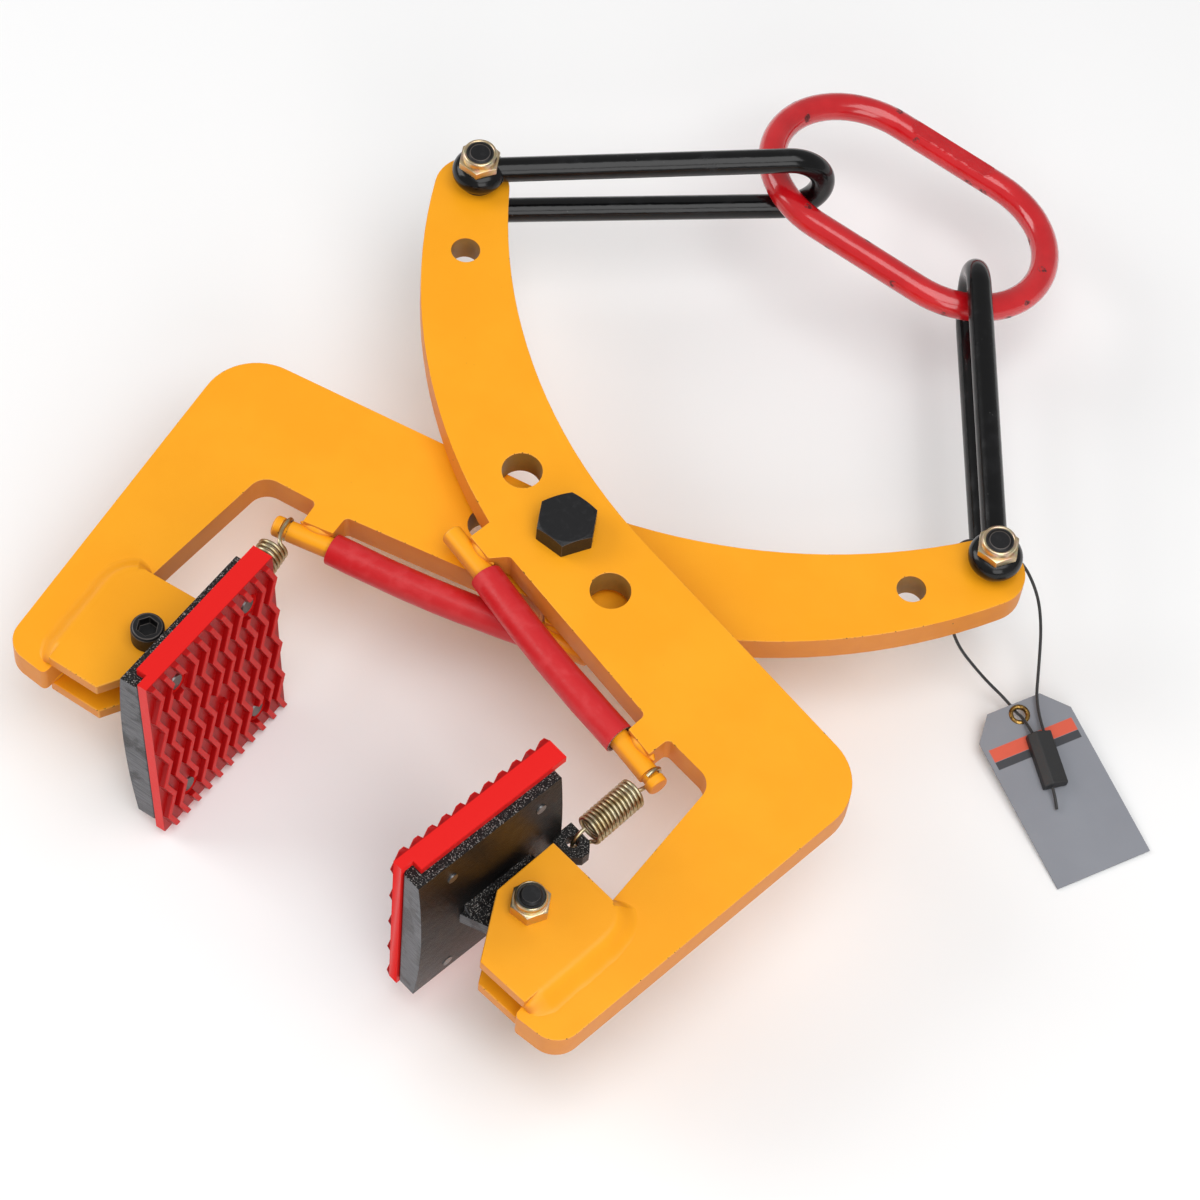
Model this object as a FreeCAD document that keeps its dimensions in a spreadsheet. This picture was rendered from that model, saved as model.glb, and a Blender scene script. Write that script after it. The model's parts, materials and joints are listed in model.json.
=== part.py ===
import FreeCAD, Part
import math
import os
import Sketcher
from FreeCAD import Placement, Rotation, Vector

doc = FreeCAD.newDocument("LiftingTongs")
sheet = doc.addObject("Spreadsheet::Sheet", "Sizes")

# Driving dimensions in mm and degrees
dimensions = {
    # where the pivot stands in the frame of the part
    "pivot_x": 0,
    "pivot_y": -68.11,
    "mid_height": 76.27,
    # arm plates
    "plate_thickness": 18,
    "arm_gap": 4,
    "arm_end_radius": 21,
    "outer_arc_radius": 330,
    "inner_arc_radius": 328.6,
    "back_angle": 11.45,
    "heel_radius": 32,
    "pocket_radius": 11,
    "toe_radius": 15,
    "corner_radius": 3,
    "spare_pivot_distance": 43.6,
    "spare_pivot_angle": 18.3,
    "spare_pivot_bore": 22,
    "spare_link_bore": 16,
    "bore_clearance": 0.06,
    # handles
    "handle_angle": 14.85,
    "handle_length": 186,
    "bar_diameter": 14,
    "bar_seat": 4,
    "groove_diameter": 11,
    "groove_width": 4,
    "groove_from_end": 7,
    "hose_diameter": 20,
    "hose_from_end": 34.5,
    "hose_length": 119.2,
    "end_chamfer": 1,
    # cheeks
    "cheek_thickness": 8,
    # jaws
    "grip_distance": 49,
    "casting_length": 95,
    "casting_offset": -3.7,
    "casting_height": 122,
    "casting_thickness": 16,
    "casting_taper": 4,
    "lug_thickness": 9,
    "lug_radius": 14,
    "lug_root": 52,
    "root_sink": 2,
    "lug_flare_depth": 5,
    "lug_flare_height": 24,
    "lug_flare_width": 44,
    "rock_bore": 12.3,
    "rock_flare": 13,
    "ear_thickness": 8.4,
    "ear_width": 14,
    "ear_reach": 17,
    "ear_bore": 6.6,
    "right_jaw_turn": 8.7,
    "left_jaw_turn": 3.7,
    "left_jaw_rock": 5.1,
    "left_jaw_dip": 2.9,
    # grip pads
    "pad_length": 103.5,
    "pad_height": 132,
    "pad_sheet": 6,
    "pad_offset": -0.2,
    "lip_depth": 6.5,
    "lip_notch": 7.5,
    "tread_height": 3,
    "tread_sink": 0.2,
    "tread_pitch": 9.3,
    "tread_width": 4.4,
    "tread_draft": 12,
    "tread_swing": 2.9,
    "tread_count": 11,
    "tread_bends": 9,
    "gate_spot": 14,
    "screw_spacing_long": 59,
    "screw_spacing_high": 95,
    "screw_diameter": 6,
    "screw_head": 11,
    "screw_head_height": 3,
    "screw_recess": 14,
    "screw_past_slab": 0.6,
    # springs
    "wire_diameter": 2,
    "spring_diameter": 17,
    "spring_turns": 13,
    "ear_hook_radius": 7.3,
    "bar_hook_radius": 7.2,
    "ear_hook_length": 12,
    "bar_hook_length": 12.4,
    "bar_hook_lead": 5,
    # bolts, nuts and washers
    "pivot_bolt": 20,
    "pivot_flats": 30,
    "pivot_head": 12.5,
    "pivot_nut_height": 18,
    "pivot_washer": 3,
    "pivot_washer_outer": 37,
    "spacer_outer": 44,
    "link_bolt": 14,
    "link_flats": 21,
    "link_head": 8.8,
    "link_nut_height": 14,
    "link_washer": 2.5,
    "link_washer_outer": 28,
    "jaw_bolt": 12,
    "jaw_flats": 19,
    "jaw_nut_height": 12,
    "socket_head": 18,
    "socket_flats": 10,
    "socket_depth": 6,
    "thread_past_nut": 2.5,
    # hairpin links
    "rod_diameter": 14,
    "link_length": 203,
    "bend_radius": 21.5,
    "eye_diameter": 30,
    "link_play": 0.4,
    "left_link_angle": 43.2,
    "right_link_angle": 129,
    # master link
    "ring_bar": 16,
    "ring_straight": 68,
    "ring_radius": 52,
    "ring_flat_length": 56,
    "ring_flat_depth": 1.6,
    "ring_flat_tilt": -35,
    "ring_x": 1.4,
    "ring_y": 313.65,
    "ring_z": -9.28,
    "ring_yaw": 6.25,
    "ring_roll": -10.39,
    "ring_pitch": 5.78,
    # tag on its cord
    "tag_length": 106.5,
    "tag_width": 57.6,
    "tag_end_width": 33,
    "tag_clip": 14,
    "tag_end": 7,
    "tag_thickness": 0.8,
    "tag_x": 233.5,
    "tag_y": 115.5,
    "tag_z": -66.37,
    "tag_yaw": -25.7,
    "tag_slope": 5,
    "eyelet_bore": 7,
    "eyelet_tube": 8,
    "eyelet_flange": 12,
    "eyelet_rim": 0.5,
    "lock_length": 32,
    "lock_width": 14,
    "lock_height": 8,
    "lock_ridge": -2.4,
    "lock_turn": -10,
    "lock_from_eyelet": 31,
    "lock_aside": 0.2,
    "lock_above": 0.3,
    "cord_diameter": 1.8,
}

# Corners of the flat outlines: the arm and the pin about the pivot, the cheek about the pin
corners = {
    "arm_end": (-181.5, 140.4),
    "link_hole": (-181.4, 145.8),
    "spare_link_hole": (-156.6, 104.8),
    "outer_arc_end": (-34, -23),
    "upper_tab_left": (-36, 0),
    "upper_tab_right": (-20, 0),
    "recess_upper": (-12, -32.4),
    "recess_lower": (101.8, -60.4),
    "lower_tab_left": (100.6, 0),
    "lower_tab_right": (117.9, 0),
    "tab_shoulder": (120, -63.7),
    "pocket": (153.2, -69),
    "toe_inner": (158.3, -236.5),
    "toe_outer": (186.6, -236.5),
    "heel": (218.7, -15.4),
    "handle_end": (131.39, -84.97),
    "jaw_pin": (128.5, -188),
    "cheek_top_front": (-13.9, 35.7),
    "cheek_top_back": (29.4, 30.1),
    "cheek_back_upper": (36.1, 24.8),
    "cheek_back_lower": (38.5, 12.3),
    "cheek_foot_back": (31.5, -42.5),
    "cheek_foot_front": (0.3, -39.7),
    "cheek_nose": (-18.6, -3.5),
    "ear_hole": (-17.3, 45.6),
}
for name, (across, along) in corners.items():
    dimensions[name + "_x"] = across
    dimensions[name + "_y"] = along

for row, (alias, number) in enumerate(dimensions.items(), start=1):
    sheet.set("A%d" % row, alias)
    sheet.set("B%d" % row, str(number))
    sheet.setAlias("B%d" % row, alias)
doc.recompute()


# A size out of the sheet, kept as a number and as the expression that binds a feature to it
class Size:
    def __init__(self, number, text):
        self.number = number
        self.text = text

    def join(self, other, sign, number):
        return Size(number, "(%s %s %s)" % (self.text, sign, toSize(other).text))

    def __add__(self, other):
        return self.join(other, "+", self.number + toSize(other).number)

    def __sub__(self, other):
        return self.join(other, "-", self.number - toSize(other).number)

    def __mul__(self, other):
        return self.join(other, "*", self.number * toSize(other).number)

    def __truediv__(self, other):
        return self.join(other, "/", self.number / toSize(other).number)

    def __rsub__(self, other):
        return toSize(other) - self

    def __neg__(self):
        return Size(-self.number, "(-1 * %s)" % self.text)


def toSize(thing):
    return thing if isinstance(thing, Size) else Size(float(thing), repr(float(thing)))


def cell(alias):
    return Size(float(sheet.get(alias)), "Sizes." + alias)


def point(name):
    return cell(name + "_x"), cell(name + "_y")


def sine(angle):
    return Size(math.sin(math.radians(angle.number)), "sin(%s * 1 deg)" % angle.text)


def cosine(angle):
    return Size(math.cos(math.radians(angle.number)), "cos(%s * 1 deg)" % angle.text)


def bind(feature, **sizes):
    for name, size in sizes.items():
        setattr(feature, name, size.number)
        feature.setExpression(name, size.text)


def flat(x, y):
    return Vector(x.number, y.number, 0)


# Sketches and the features made from them
def newBody(label):
    body = doc.addObject("PartDesign::Body", label)
    body.Label = label
    return body


def newSketch(body, name, role="XY_Plane", shift=None):
    sketch = body.newObject("Sketcher::SketchObject", name)
    plane = [item for item in body.Origin.OriginFeatures if item.Role == role][0]
    sketch.AttachmentSupport = [(plane, "")]
    sketch.MapMode = "FlatFace"
    if shift is not None:
        sketch.AttachmentOffset = Placement(Vector(0, 0, shift.number), Rotation())
        sketch.setExpression("AttachmentOffset.Base.z", shift.text)
    return sketch


def holdPoint(sketch, edge, end, x, y):
    for kind, size in (("DistanceX", x), ("DistanceY", y)):
        size = toSize(size)
        index = sketch.addConstraint(Sketcher.Constraint(kind, -1, 1, edge, end, size.number))
        sketch.setExpression("Constraints[%d]" % index, size.text)


def holdRadius(sketch, edge, size):
    index = sketch.addConstraint(Sketcher.Constraint("Radius", edge, size.number))
    sketch.setExpression("Constraints[%d]" % index, size.text)


def drawPolygon(sketch, points):
    spots = [(toSize(x), toSize(y)) for x, y in points]
    first = sketch.GeometryCount
    for i, spot in enumerate(spots):
        after = spots[(i + 1) % len(spots)]
        sketch.addGeometry(Part.LineSegment(flat(*spot), flat(*after)))
    for i, spot in enumerate(spots):
        after = first + (i + 1) % len(spots)
        sketch.addConstraint(Sketcher.Constraint("Coincident", first + i, 2, after, 1))
        holdPoint(sketch, first + i, 1, *spot)


def drawCircle(sketch, x, y, radius):
    x, y = toSize(x), toSize(y)
    edge = sketch.addGeometry(Part.Circle(flat(x, y), Vector(0, 0, 1), radius.number))
    holdPoint(sketch, edge, 3, x, y)
    holdRadius(sketch, edge, radius)


# Straight lines through the corners, closed by an arc about a centre
def drawBowed(sketch, corners, centre):
    spots = [(toSize(x), toSize(y)) for x, y in corners]
    middle = flat(*[toSize(size) for size in centre])
    radius = (flat(*spots[0]) - middle).Length
    first = sketch.GeometryCount
    for spot, after in zip(spots, spots[1:]):
        sketch.addGeometry(Part.LineSegment(flat(*spot), flat(*after)))
    arc = sketch.addGeometry(arcBetween(middle, radius, flat(*spots[-1]), flat(*spots[0])))
    for edge in range(first, arc):
        sketch.addConstraint(Sketcher.Constraint("Coincident", edge, 2, edge + 1, 1))
    sketch.addConstraint(Sketcher.Constraint("Coincident", arc, 2, first, 1))
    for edge, spot in enumerate(spots, start=first):
        holdPoint(sketch, edge, 1, *spot)
    index = sketch.addConstraint(Sketcher.Constraint("DistanceX", -1, 1, arc, 3, middle.x))
    sketch.setExpression("Constraints[%d]" % index, toSize(centre[0]).text)


def addPad(body, sketch, name, length, both=False, reverse=False):
    pad = body.newObject("PartDesign::Pad", name)
    pad.Profile = sketch
    pad.SideType = "Symmetric" if both else "One side"
    pad.Reversed = reverse
    bind(pad, Length=length)
    return pad


def addPocket(body, sketch, name, length=None, reverse=False):
    pocket = body.newObject("PartDesign::Pocket", name)
    pocket.Profile = sketch
    pocket.Reversed = reverse
    if length is None:
        pocket.Type = "ThroughAll"
        pocket.SideType = "Symmetric"
    else:
        bind(pocket, Length=length)
    return pocket


def addTurned(body, sketch, name, kind="PartDesign::Revolution"):
    turned = body.newObject(kind, name)
    turned.Profile = sketch
    turned.ReferenceAxis = (sketch, ["V_Axis"])
    turned.Angle = 360
    return turned


# Rounds the upright edges of a pad that stand on the given corners
def roundCorners(body, name, radius, spots):
    doc.recompute()
    base = body.Tip
    names = []
    for i, edge in enumerate(base.Shape.Edges, start=1):
        ends = [vertex.Point for vertex in edge.Vertexes]
        if len(ends) != 2 or abs(ends[0].x - ends[1].x) + abs(ends[0].y - ends[1].y) > 1e-6:
            continue
        for spot in spots:
            if math.hypot(ends[0].x - spot[0].number, ends[0].y - spot[1].number) < 1e-3:
                names.append("Edge%d" % i)
    fillet = body.newObject("PartDesign::Fillet", name)
    fillet.Base = (base, names)
    bind(fillet, Radius=radius)
    return fillet


def turnedBody(label, points):
    body = newBody(label)
    sketch = newSketch(body, label + "_profile", "XZ_Plane")
    drawPolygon(sketch, points)
    addTurned(body, sketch, label + "_turned")
    return body


# Solids for bolts, nuts, washers and rings
def cylinder(name, radius, height, base=None):
    solid = doc.addObject("Part::Cylinder", name)
    bind(solid, Radius=radius, Height=height)
    return raised(solid, base)


def cone(name, lower, upper, height, base=None):
    solid = doc.addObject("Part::Cone", name)
    bind(solid, Radius1=lower, Radius2=upper, Height=height)
    return raised(solid, base)


def raised(solid, base):
    if base is not None:
        solid.Placement = Placement(Vector(0, 0, base.number), Rotation())
        solid.setExpression("Placement.Base.z", base.text)
    return solid


def joined(label, solids):
    fuse = doc.addObject("Part::MultiFuse", label)
    fuse.Shapes = solids
    fuse.Label = label
    return fuse


def cut(label, base, tool):
    result = doc.addObject("Part::Cut", label)
    result.Base = base
    result.Tool = tool
    result.Label = label
    return result


# Hexagon whose upper corners are taken off by a thirty degree cone
def hexagon(name, flats, height, base=None):
    prism = doc.addObject("Part::Prism", name + "_prism")
    prism.Polygon = 6
    bind(prism, Circumradius=flats / math.sqrt(3), Height=height)
    cover = cone(name + "_cover", flats * 0.48 + height * math.sqrt(3), flats * 0.48, height)
    head = doc.addObject("Part::Common", name)
    head.Base = prism
    head.Tool = cover
    return raised(head, base)


# Bolt with its head below zero and its thread end at the given length
def hexBolt(label, diameter, flats, head, length):
    hexHead = hexagon(label + "_hex", flats, head)
    hexHead.Placement = Placement(Vector(0, 0, 0), Rotation(Vector(1, 0, 0), 180))
    shank = cylinder(label + "_shank", diameter / 2, length - diameter / 10)
    tip = cone(label + "_tip", diameter / 2, diameter * 0.4, diameter / 10, length - diameter / 10)
    return joined(label, [hexHead, shank, tip])


# Lock nut with a round collar, standing on zero
def lockNut(label, diameter, flats, height):
    body = hexagon(label + "_hex", flats, height * 0.68)
    collar = cylinder(label + "_collar", flats * 0.45, height * 0.9)
    crown = cone(label + "_crown", flats * 0.45, flats * 0.38, height * 0.1, height * 0.9)
    full = joined(label + "_full", [body, collar, crown])
    return cut(label, full, cylinder(label + "_bore", diameter / 2, height))


def washer(label, inner, outer, height):
    return cut(label, cylinder(label + "_disc", outer, height), cylinder(label + "_bore", inner, height))


nodes = []


def place(item, placement):
    item.Placement = placement
    nodes.append(item)
    return item


def shifted(x, y, z):
    return Placement(Vector(x, y, z), Rotation())


def turnedAbout(axis, angle):
    return Placement(Vector(0, 0, 0), Rotation(axis, angle))


along, across, upright = Vector(1, 0, 0), Vector(0, 1, 0), Vector(0, 0, 1)
frame = shifted(cell("pivot_x").number, cell("pivot_y").number, cell("mid_height").number)

# The rear half of the tongs is the front half turned over about the lengthwise axis
sides = {
    "front": {"jaw": "right", "place": frame, "turn": cell("right_jaw_turn"), "rock": None},
    "rear": {"jaw": "left", "place": frame * turnedAbout(across, 180), "turn": cell("left_jaw_turn"),
             "rock": turnedAbout(across, -cell("left_jaw_rock").number)
             * turnedAbout(along, cell("left_jaw_dip").number)},
}

plate = cell("plate_thickness")
gap = cell("arm_gap")
cheek = cell("cheek_thickness")
plateBottom = gap / 2
plateMid = gap / 2 + plate / 2
plateTop = gap / 2 + plate
pinX, pinY = point("jaw_pin")


# Where the top of a tab meets the handle bar
def tabFoot(name):
    x = cell(name + "_x")
    slope = cell("handle_angle")
    run = x - cell("handle_end_x")
    return x, cell("handle_end_y") - run * (sine(slope) / cosine(slope)) + cell("bar_seat") / cosine(slope)


# Where the upper end of the handle bar lies, its axis along local Z, measured back from the spring end
def barPose(height):
    end = shifted(cell("handle_end_x").number, cell("handle_end_y").number, height)
    lie = turnedAbout(upright, -cell("handle_angle").number) * turnedAbout(across, 90)
    return end * lie * shifted(0, 0, -cell("handle_length").number)


# Centre of the circle that lies the two given distances from the two given points, left of the line
def circleCentre(first, second, fromFirst, fromSecond):
    line = second - first
    foot = (fromFirst ** 2 - fromSecond ** 2 + line.Length ** 2) / (2 * line.Length)
    rise = math.sqrt(fromFirst ** 2 - foot ** 2)
    ahead = Vector(line).normalize()
    return first + ahead * foot + upright.cross(ahead) * rise


def arcBetween(centre, radius, start, end):
    angles = [math.atan2(spot.y - centre.y, spot.x - centre.x) for spot in (start, end)]
    if angles[1] < angles[0]:
        angles[1] += 2 * math.pi
    return Part.ArcOfCircle(Part.Circle(centre, upright, radius), *angles)


def drawArm(sketch):
    end = flat(*point("arm_end"))
    endRadius = cell("arm_end_radius")
    outer, inner = cell("outer_arc_radius"), cell("inner_arc_radius")
    straight = [point("outer_arc_end"), tabFoot("upper_tab_left"), tabFoot("upper_tab_right"),
                point("recess_upper"), point("recess_lower"), tabFoot("lower_tab_left"),
                tabFoot("lower_tab_right"), point("tab_shoulder"), point("pocket"),
                point("toe_inner"), point("toe_outer"), point("heel")]
    arcEnd, heel = flat(*straight[0]), flat(*straight[-1])
    outerCentre = circleCentre(end, arcEnd, outer.number - endRadius.number, outer.number)
    outerStart = end + (end - outerCentre).normalize() * endRadius.number
    backAngle = math.radians(180 - cell("back_angle").number)
    back = Vector(math.cos(backAngle), math.sin(backAngle), 0)
    lifted = heel - upright.cross(back) * inner.number
    reach = inner.number + endRadius.number
    toEnd = (end - lifted).dot(back)
    sideways = (end - lifted - back * toEnd).Length
    innerCentre = lifted + back * (toEnd - math.sqrt(reach ** 2 - sideways ** 2))
    backEnd = innerCentre + upright.cross(back) * inner.number
    innerEnd = end + (innerCentre - end).normalize() * endRadius.number
    sketch.addGeometry(arcBetween(end, endRadius.number, innerEnd, outerStart))
    sketch.addGeometry(arcBetween(outerCentre, outer.number, outerStart, arcEnd))
    spots = [flat(*spot) for spot in straight] + [backEnd]
    for start, stop in zip(spots, spots[1:]):
        sketch.addGeometry(Part.LineSegment(start, stop))
    innerArc = sketch.addGeometry(arcBetween(innerCentre, inner.number, innerEnd, backEnd))
    lastLine = innerArc - 1
    sketch.addConstraint(Sketcher.Constraint("Tangent", 0, 2, 1, 1))
    sketch.addConstraint(Sketcher.Constraint("Tangent", innerArc, 1, 0, 1))
    sketch.addConstraint(Sketcher.Constraint("Tangent", lastLine, 2, innerArc, 2))
    for edge in range(1, lastLine):
        sketch.addConstraint(Sketcher.Constraint("Coincident", edge, 2, edge + 1, 1))
    for edge, spot in enumerate(straight, start=2):
        holdPoint(sketch, edge, 1, *spot)
    holdPoint(sketch, 0, 3, *point("arm_end"))
    for edge, radius in ((0, endRadius), (1, outer), (innerArc, inner)):
        holdRadius(sketch, edge, radius)
    index = sketch.addConstraint(Sketcher.Constraint("Angle", lastLine, backAngle))
    sketch.setExpression("Constraints[%d]" % index, "(180 - Sizes.back_angle) * 1 deg")


def makeArm(label):
    body = newBody(label)
    outline = newSketch(body, label + "_outline")
    drawArm(outline)
    clearance = cell("bore_clearance")
    spare, slope = cell("spare_pivot_distance"), cell("spare_pivot_angle")
    spareX, spareY = spare * cosine(slope), spare * sine(slope)
    drawCircle(outline, 0, 0, cell("pivot_bolt") / 2 + clearance)
    drawCircle(outline, -spareX, spareY, cell("spare_pivot_bore") / 2)
    drawCircle(outline, spareX, -spareY, cell("spare_pivot_bore") / 2)
    drawCircle(outline, *point("link_hole"), cell("link_bolt") / 2 + clearance)
    drawCircle(outline, *point("spare_link_hole"), cell("spare_link_bore") / 2)
    addPad(body, outline, label + "_plate", plate)
    roundCorners(body, label + "_heel", cell("heel_radius"), [point("heel")])
    roundCorners(body, label + "_pocket", cell("pocket_radius"), [point("pocket")])
    roundCorners(body, label + "_toe", cell("toe_radius"), [point("toe_outer")])
    small = [point("toe_inner"), point("tab_shoulder"), point("recess_upper"), point("recess_lower")]
    roundCorners(body, label + "_corners", cell("corner_radius"), small)
    seat = body.newObject("PartDesign::SubtractiveCylinder", label + "_seat")
    bind(seat, Radius=cell("bar_diameter") / 2, Height=cell("handle_length"))
    seat.Placement = barPose(plate.number / 2)
    return body


def makeBar(label):
    radius, length, chamfer = cell("bar_diameter") / 2, cell("handle_length"), cell("end_chamfer")
    groove = cell("groove_diameter") / 2
    grooveEnd = length - cell("groove_from_end") + cell("groove_width") / 2
    grooveStart = grooveEnd - cell("groove_width")
    return turnedBody(label, [(0, 0), (radius - chamfer, 0), (radius, chamfer), (radius, grooveStart),
                              (groove, grooveStart), (groove, grooveEnd), (radius, grooveEnd),
                              (radius, length - chamfer), (radius - chamfer, length), (0, length)])


def makeHose(label):
    inner, outer, length = cell("bar_diameter") / 2, cell("hose_diameter") / 2, cell("hose_length")
    return turnedBody(label, [(inner, 0), (outer, 0), (outer, length), (inner, length)])


def makeCheek(label):
    body = newBody(label)
    outline = newSketch(body, label + "_outline")
    names = ["top_front", "nose", "foot_front", "foot_back", "back_lower", "back_upper", "top_back"]
    drawPolygon(outline, [point("cheek_" + name) for name in names])
    drawCircle(outline, 0, 0, cell("jaw_bolt") / 2)
    addPad(body, outline, label + "_plate", cheek)
    return body


grip = cell("grip_distance")
castingFront = grip - cell("tread_height") - cell("pad_sheet")
castingRear = castingFront - cell("casting_thickness")
castingBulge = (cell("casting_height") * cell("casting_height") / 4 + cell("casting_taper") * cell("casting_taper"))
castingBulge = castingBulge / (cell("casting_taper") * 2)
padMid = cell("pad_offset")
screwSpots = [(padMid + cell("screw_spacing_long") * (i - 0.5), cell("screw_spacing_high") * (k - 0.5))
              for i in (0, 1) for k in (0, 1)]


# Lug round the pin: two lines from the root that touch the boss circle
def drawLug(sketch):
    radius, root, back = cell("lug_radius"), cell("lug_root") / 2, -(castingRear + cell("root_sink"))
    span = math.hypot(back.number, root.number)
    touch = math.atan2(root.number, back.number) - math.acos(radius.number / span)
    upper = Vector(radius.number * math.cos(touch), radius.number * math.sin(touch), 0)
    lower = Vector(upper.x, -upper.y, 0)
    rootUpper, rootLower = flat(back, root), flat(back, -root)
    sketch.addGeometry(arcBetween(Vector(0, 0, 0), radius.number, lower, upper))
    sketch.addGeometry(Part.LineSegment(upper, rootUpper))
    sketch.addGeometry(Part.LineSegment(rootUpper, rootLower))
    sketch.addGeometry(Part.LineSegment(rootLower, lower))
    sketch.addConstraint(Sketcher.Constraint("Tangent", 0, 2, 1, 1))
    sketch.addConstraint(Sketcher.Constraint("Tangent", 3, 2, 0, 1))
    sketch.addConstraint(Sketcher.Constraint("Coincident", 1, 2, 2, 1))
    sketch.addConstraint(Sketcher.Constraint("Coincident", 2, 2, 3, 1))
    holdPoint(sketch, 0, 3, 0, 0)
    holdRadius(sketch, 0, radius)
    holdPoint(sketch, 2, 1, back, root)
    holdPoint(sketch, 2, 2, back, -root)


def makeCasting(label):
    body = newBody(label)
    half, edgeRear = cell("casting_height") / 2, -castingRear - cell("casting_taper")
    profile = newSketch(body, label + "_profile", "XZ_Plane", -cell("casting_offset"))
    corners = [(edgeRear, half), (-castingFront, half), (-castingFront, -half), (edgeRear, -half)]
    drawBowed(profile, corners, (-castingRear - castingBulge, 0))
    addPad(body, profile, label + "_slab", cell("casting_length"), both=True)
    lug = newSketch(body, label + "_lug_outline")
    drawLug(lug)
    addPad(body, lug, label + "_lug", cell("lug_thickness"), both=True)
    flareEnd, flareHalf = castingRear - cell("lug_flare_depth"), cell("lug_flare_height") / 2
    lugHalf = cell("lug_thickness") / 2
    flare = newSketch(body, label + "_flare_outline", "XZ_Plane")
    flareRoot = -castingRear - cell("root_sink") / 2
    drawPolygon(flare, [(flareRoot, -flareHalf), (-flareEnd, -lugHalf), (-flareEnd, lugHalf),
                        (flareRoot, flareHalf)])
    addPad(body, flare, label + "_flare", cell("lug_flare_width"), both=True)
    earX, earY = point("ear_hole")
    earHalf, earEnd, chamfer = cell("ear_width") / 2, cell("ear_reach") - castingRear, cell("ear_width") / 3
    earRoot = -castingRear - cell("root_sink")
    ear = newSketch(body, label + "_ear_outline")
    drawPolygon(ear, [(earRoot, earY - earHalf), (earEnd - chamfer, earY - earHalf),
                      (earEnd, earY - earHalf + chamfer), (earEnd, earY + earHalf - chamfer),
                      (earEnd - chamfer, earY + earHalf), (earRoot, earY + earHalf)])
    addPad(body, ear, label + "_ear", cell("ear_thickness"), both=True)
    earBore = newSketch(body, label + "_ear_bore_outline")
    drawCircle(earBore, earX, earY, cell("ear_bore") / 2)
    addPocket(body, earBore, label + "_ear_bore")
    waist, reach = cell("rock_bore") / 2, cell("lug_thickness")
    mouth = waist + reach * (sine(cell("rock_flare")) / cosine(cell("rock_flare")))
    bore = newSketch(body, label + "_bore_profile", "XZ_Plane")
    drawPolygon(bore, [(0, -reach), (mouth, -reach), (waist, 0), (mouth, reach), (0, reach)])
    addTurned(body, bore, label + "_bore", "PartDesign::Groove")
    holes = newSketch(body, label + "_screw_holes", "YZ_Plane")
    for y, z in screwSpots:
        drawCircle(holes, y, z, cell("screw_diameter") / 2)
    addPocket(body, holes, label + "_screw_bores")
    return body


def makePad(label):
    body = newBody(label)
    sheetFront = castingFront + cell("pad_sheet")
    half, lipStart = cell("pad_height") / 2, cell("casting_height") / 2
    sheetSketch = newSketch(body, label + "_sheet_outline", "XZ_Plane", -padMid)
    drawPolygon(sheetSketch, [(-sheetFront, -half), (-castingFront, -half), (-castingFront, half),
                              (-sheetFront, half)])
    addPad(body, sheetSketch, label + "_sheet", cell("pad_length"), both=True)
    lipEnd, notch = castingFront - cell("lip_depth"), cell("lip_notch")
    lips = newSketch(body, label + "_lip_outline", "XZ_Plane", -padMid - notch / 2)
    for low, high in ((lipStart, half), (-half, -lipStart)):
        inside = -castingFront - cell("root_sink") / 2
        drawPolygon(lips, [(inside, low), (-lipEnd, low), (-lipEnd, high), (inside, high)])
    addPad(body, lips, label + "_lips", cell("pad_length") - notch, both=True)
    tread = newSketch(body, label + "_tread_outline", "YZ_Plane", cell("tread_sink") - sheetFront)
    pitch, width, swing = cell("tread_pitch"), cell("tread_width") / 2, cell("tread_swing")
    start = padMid - pitch * ((cell("tread_count").number - 1) / 2)
    bends = int(cell("tread_bends").number)
    centres = [(start + swing * (1 if i % 2 else -1), half * (2 * i / bends - 1)) for i in range(bends + 1)]
    right = [(y + width, z) for y, z in centres]
    left = [(y - width, z) for y, z in reversed(centres)]
    drawPolygon(tread, right + left)
    rib = addPad(body, tread, label + "_rib", cell("tread_height") + cell("tread_sink"), reverse=True)
    bind(rib, TaperAngle=-cell("tread_draft"))
    ribs = body.newObject("PartDesign::LinearPattern", label + "_ribs")
    ribs.Originals = [rib]
    ribs.Direction = (tread, ["H_Axis"])
    ribs.Mode = "Spacing"
    ribs.Occurrences = int(cell("tread_count").number)
    ribs.setExpression("Offset", pitch.text)
    ribs.Offset = pitch.number
    body.Tip = ribs
    recess = newSketch(body, label + "_recess_outline", "YZ_Plane", -grip)
    bores = newSketch(body, label + "_screw_holes", "YZ_Plane")
    for y, z in screwSpots:
        drawCircle(recess, y, z, cell("screw_recess") / 2)
        drawCircle(bores, y, z, cell("screw_diameter") / 2)
    addPocket(body, recess, label + "_recesses", cell("tread_height") + cell("pad_sheet") / 2, reverse=True)
    addPocket(body, bores, label + "_bores")
    gate = newSketch(body, label + "_gate_outline", "YZ_Plane", -grip)
    drawCircle(gate, padMid, 0, cell("gate_spot") / 2)
    addPocket(body, gate, label + "_gate", cell("tread_height"), reverse=True)
    return body


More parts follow.
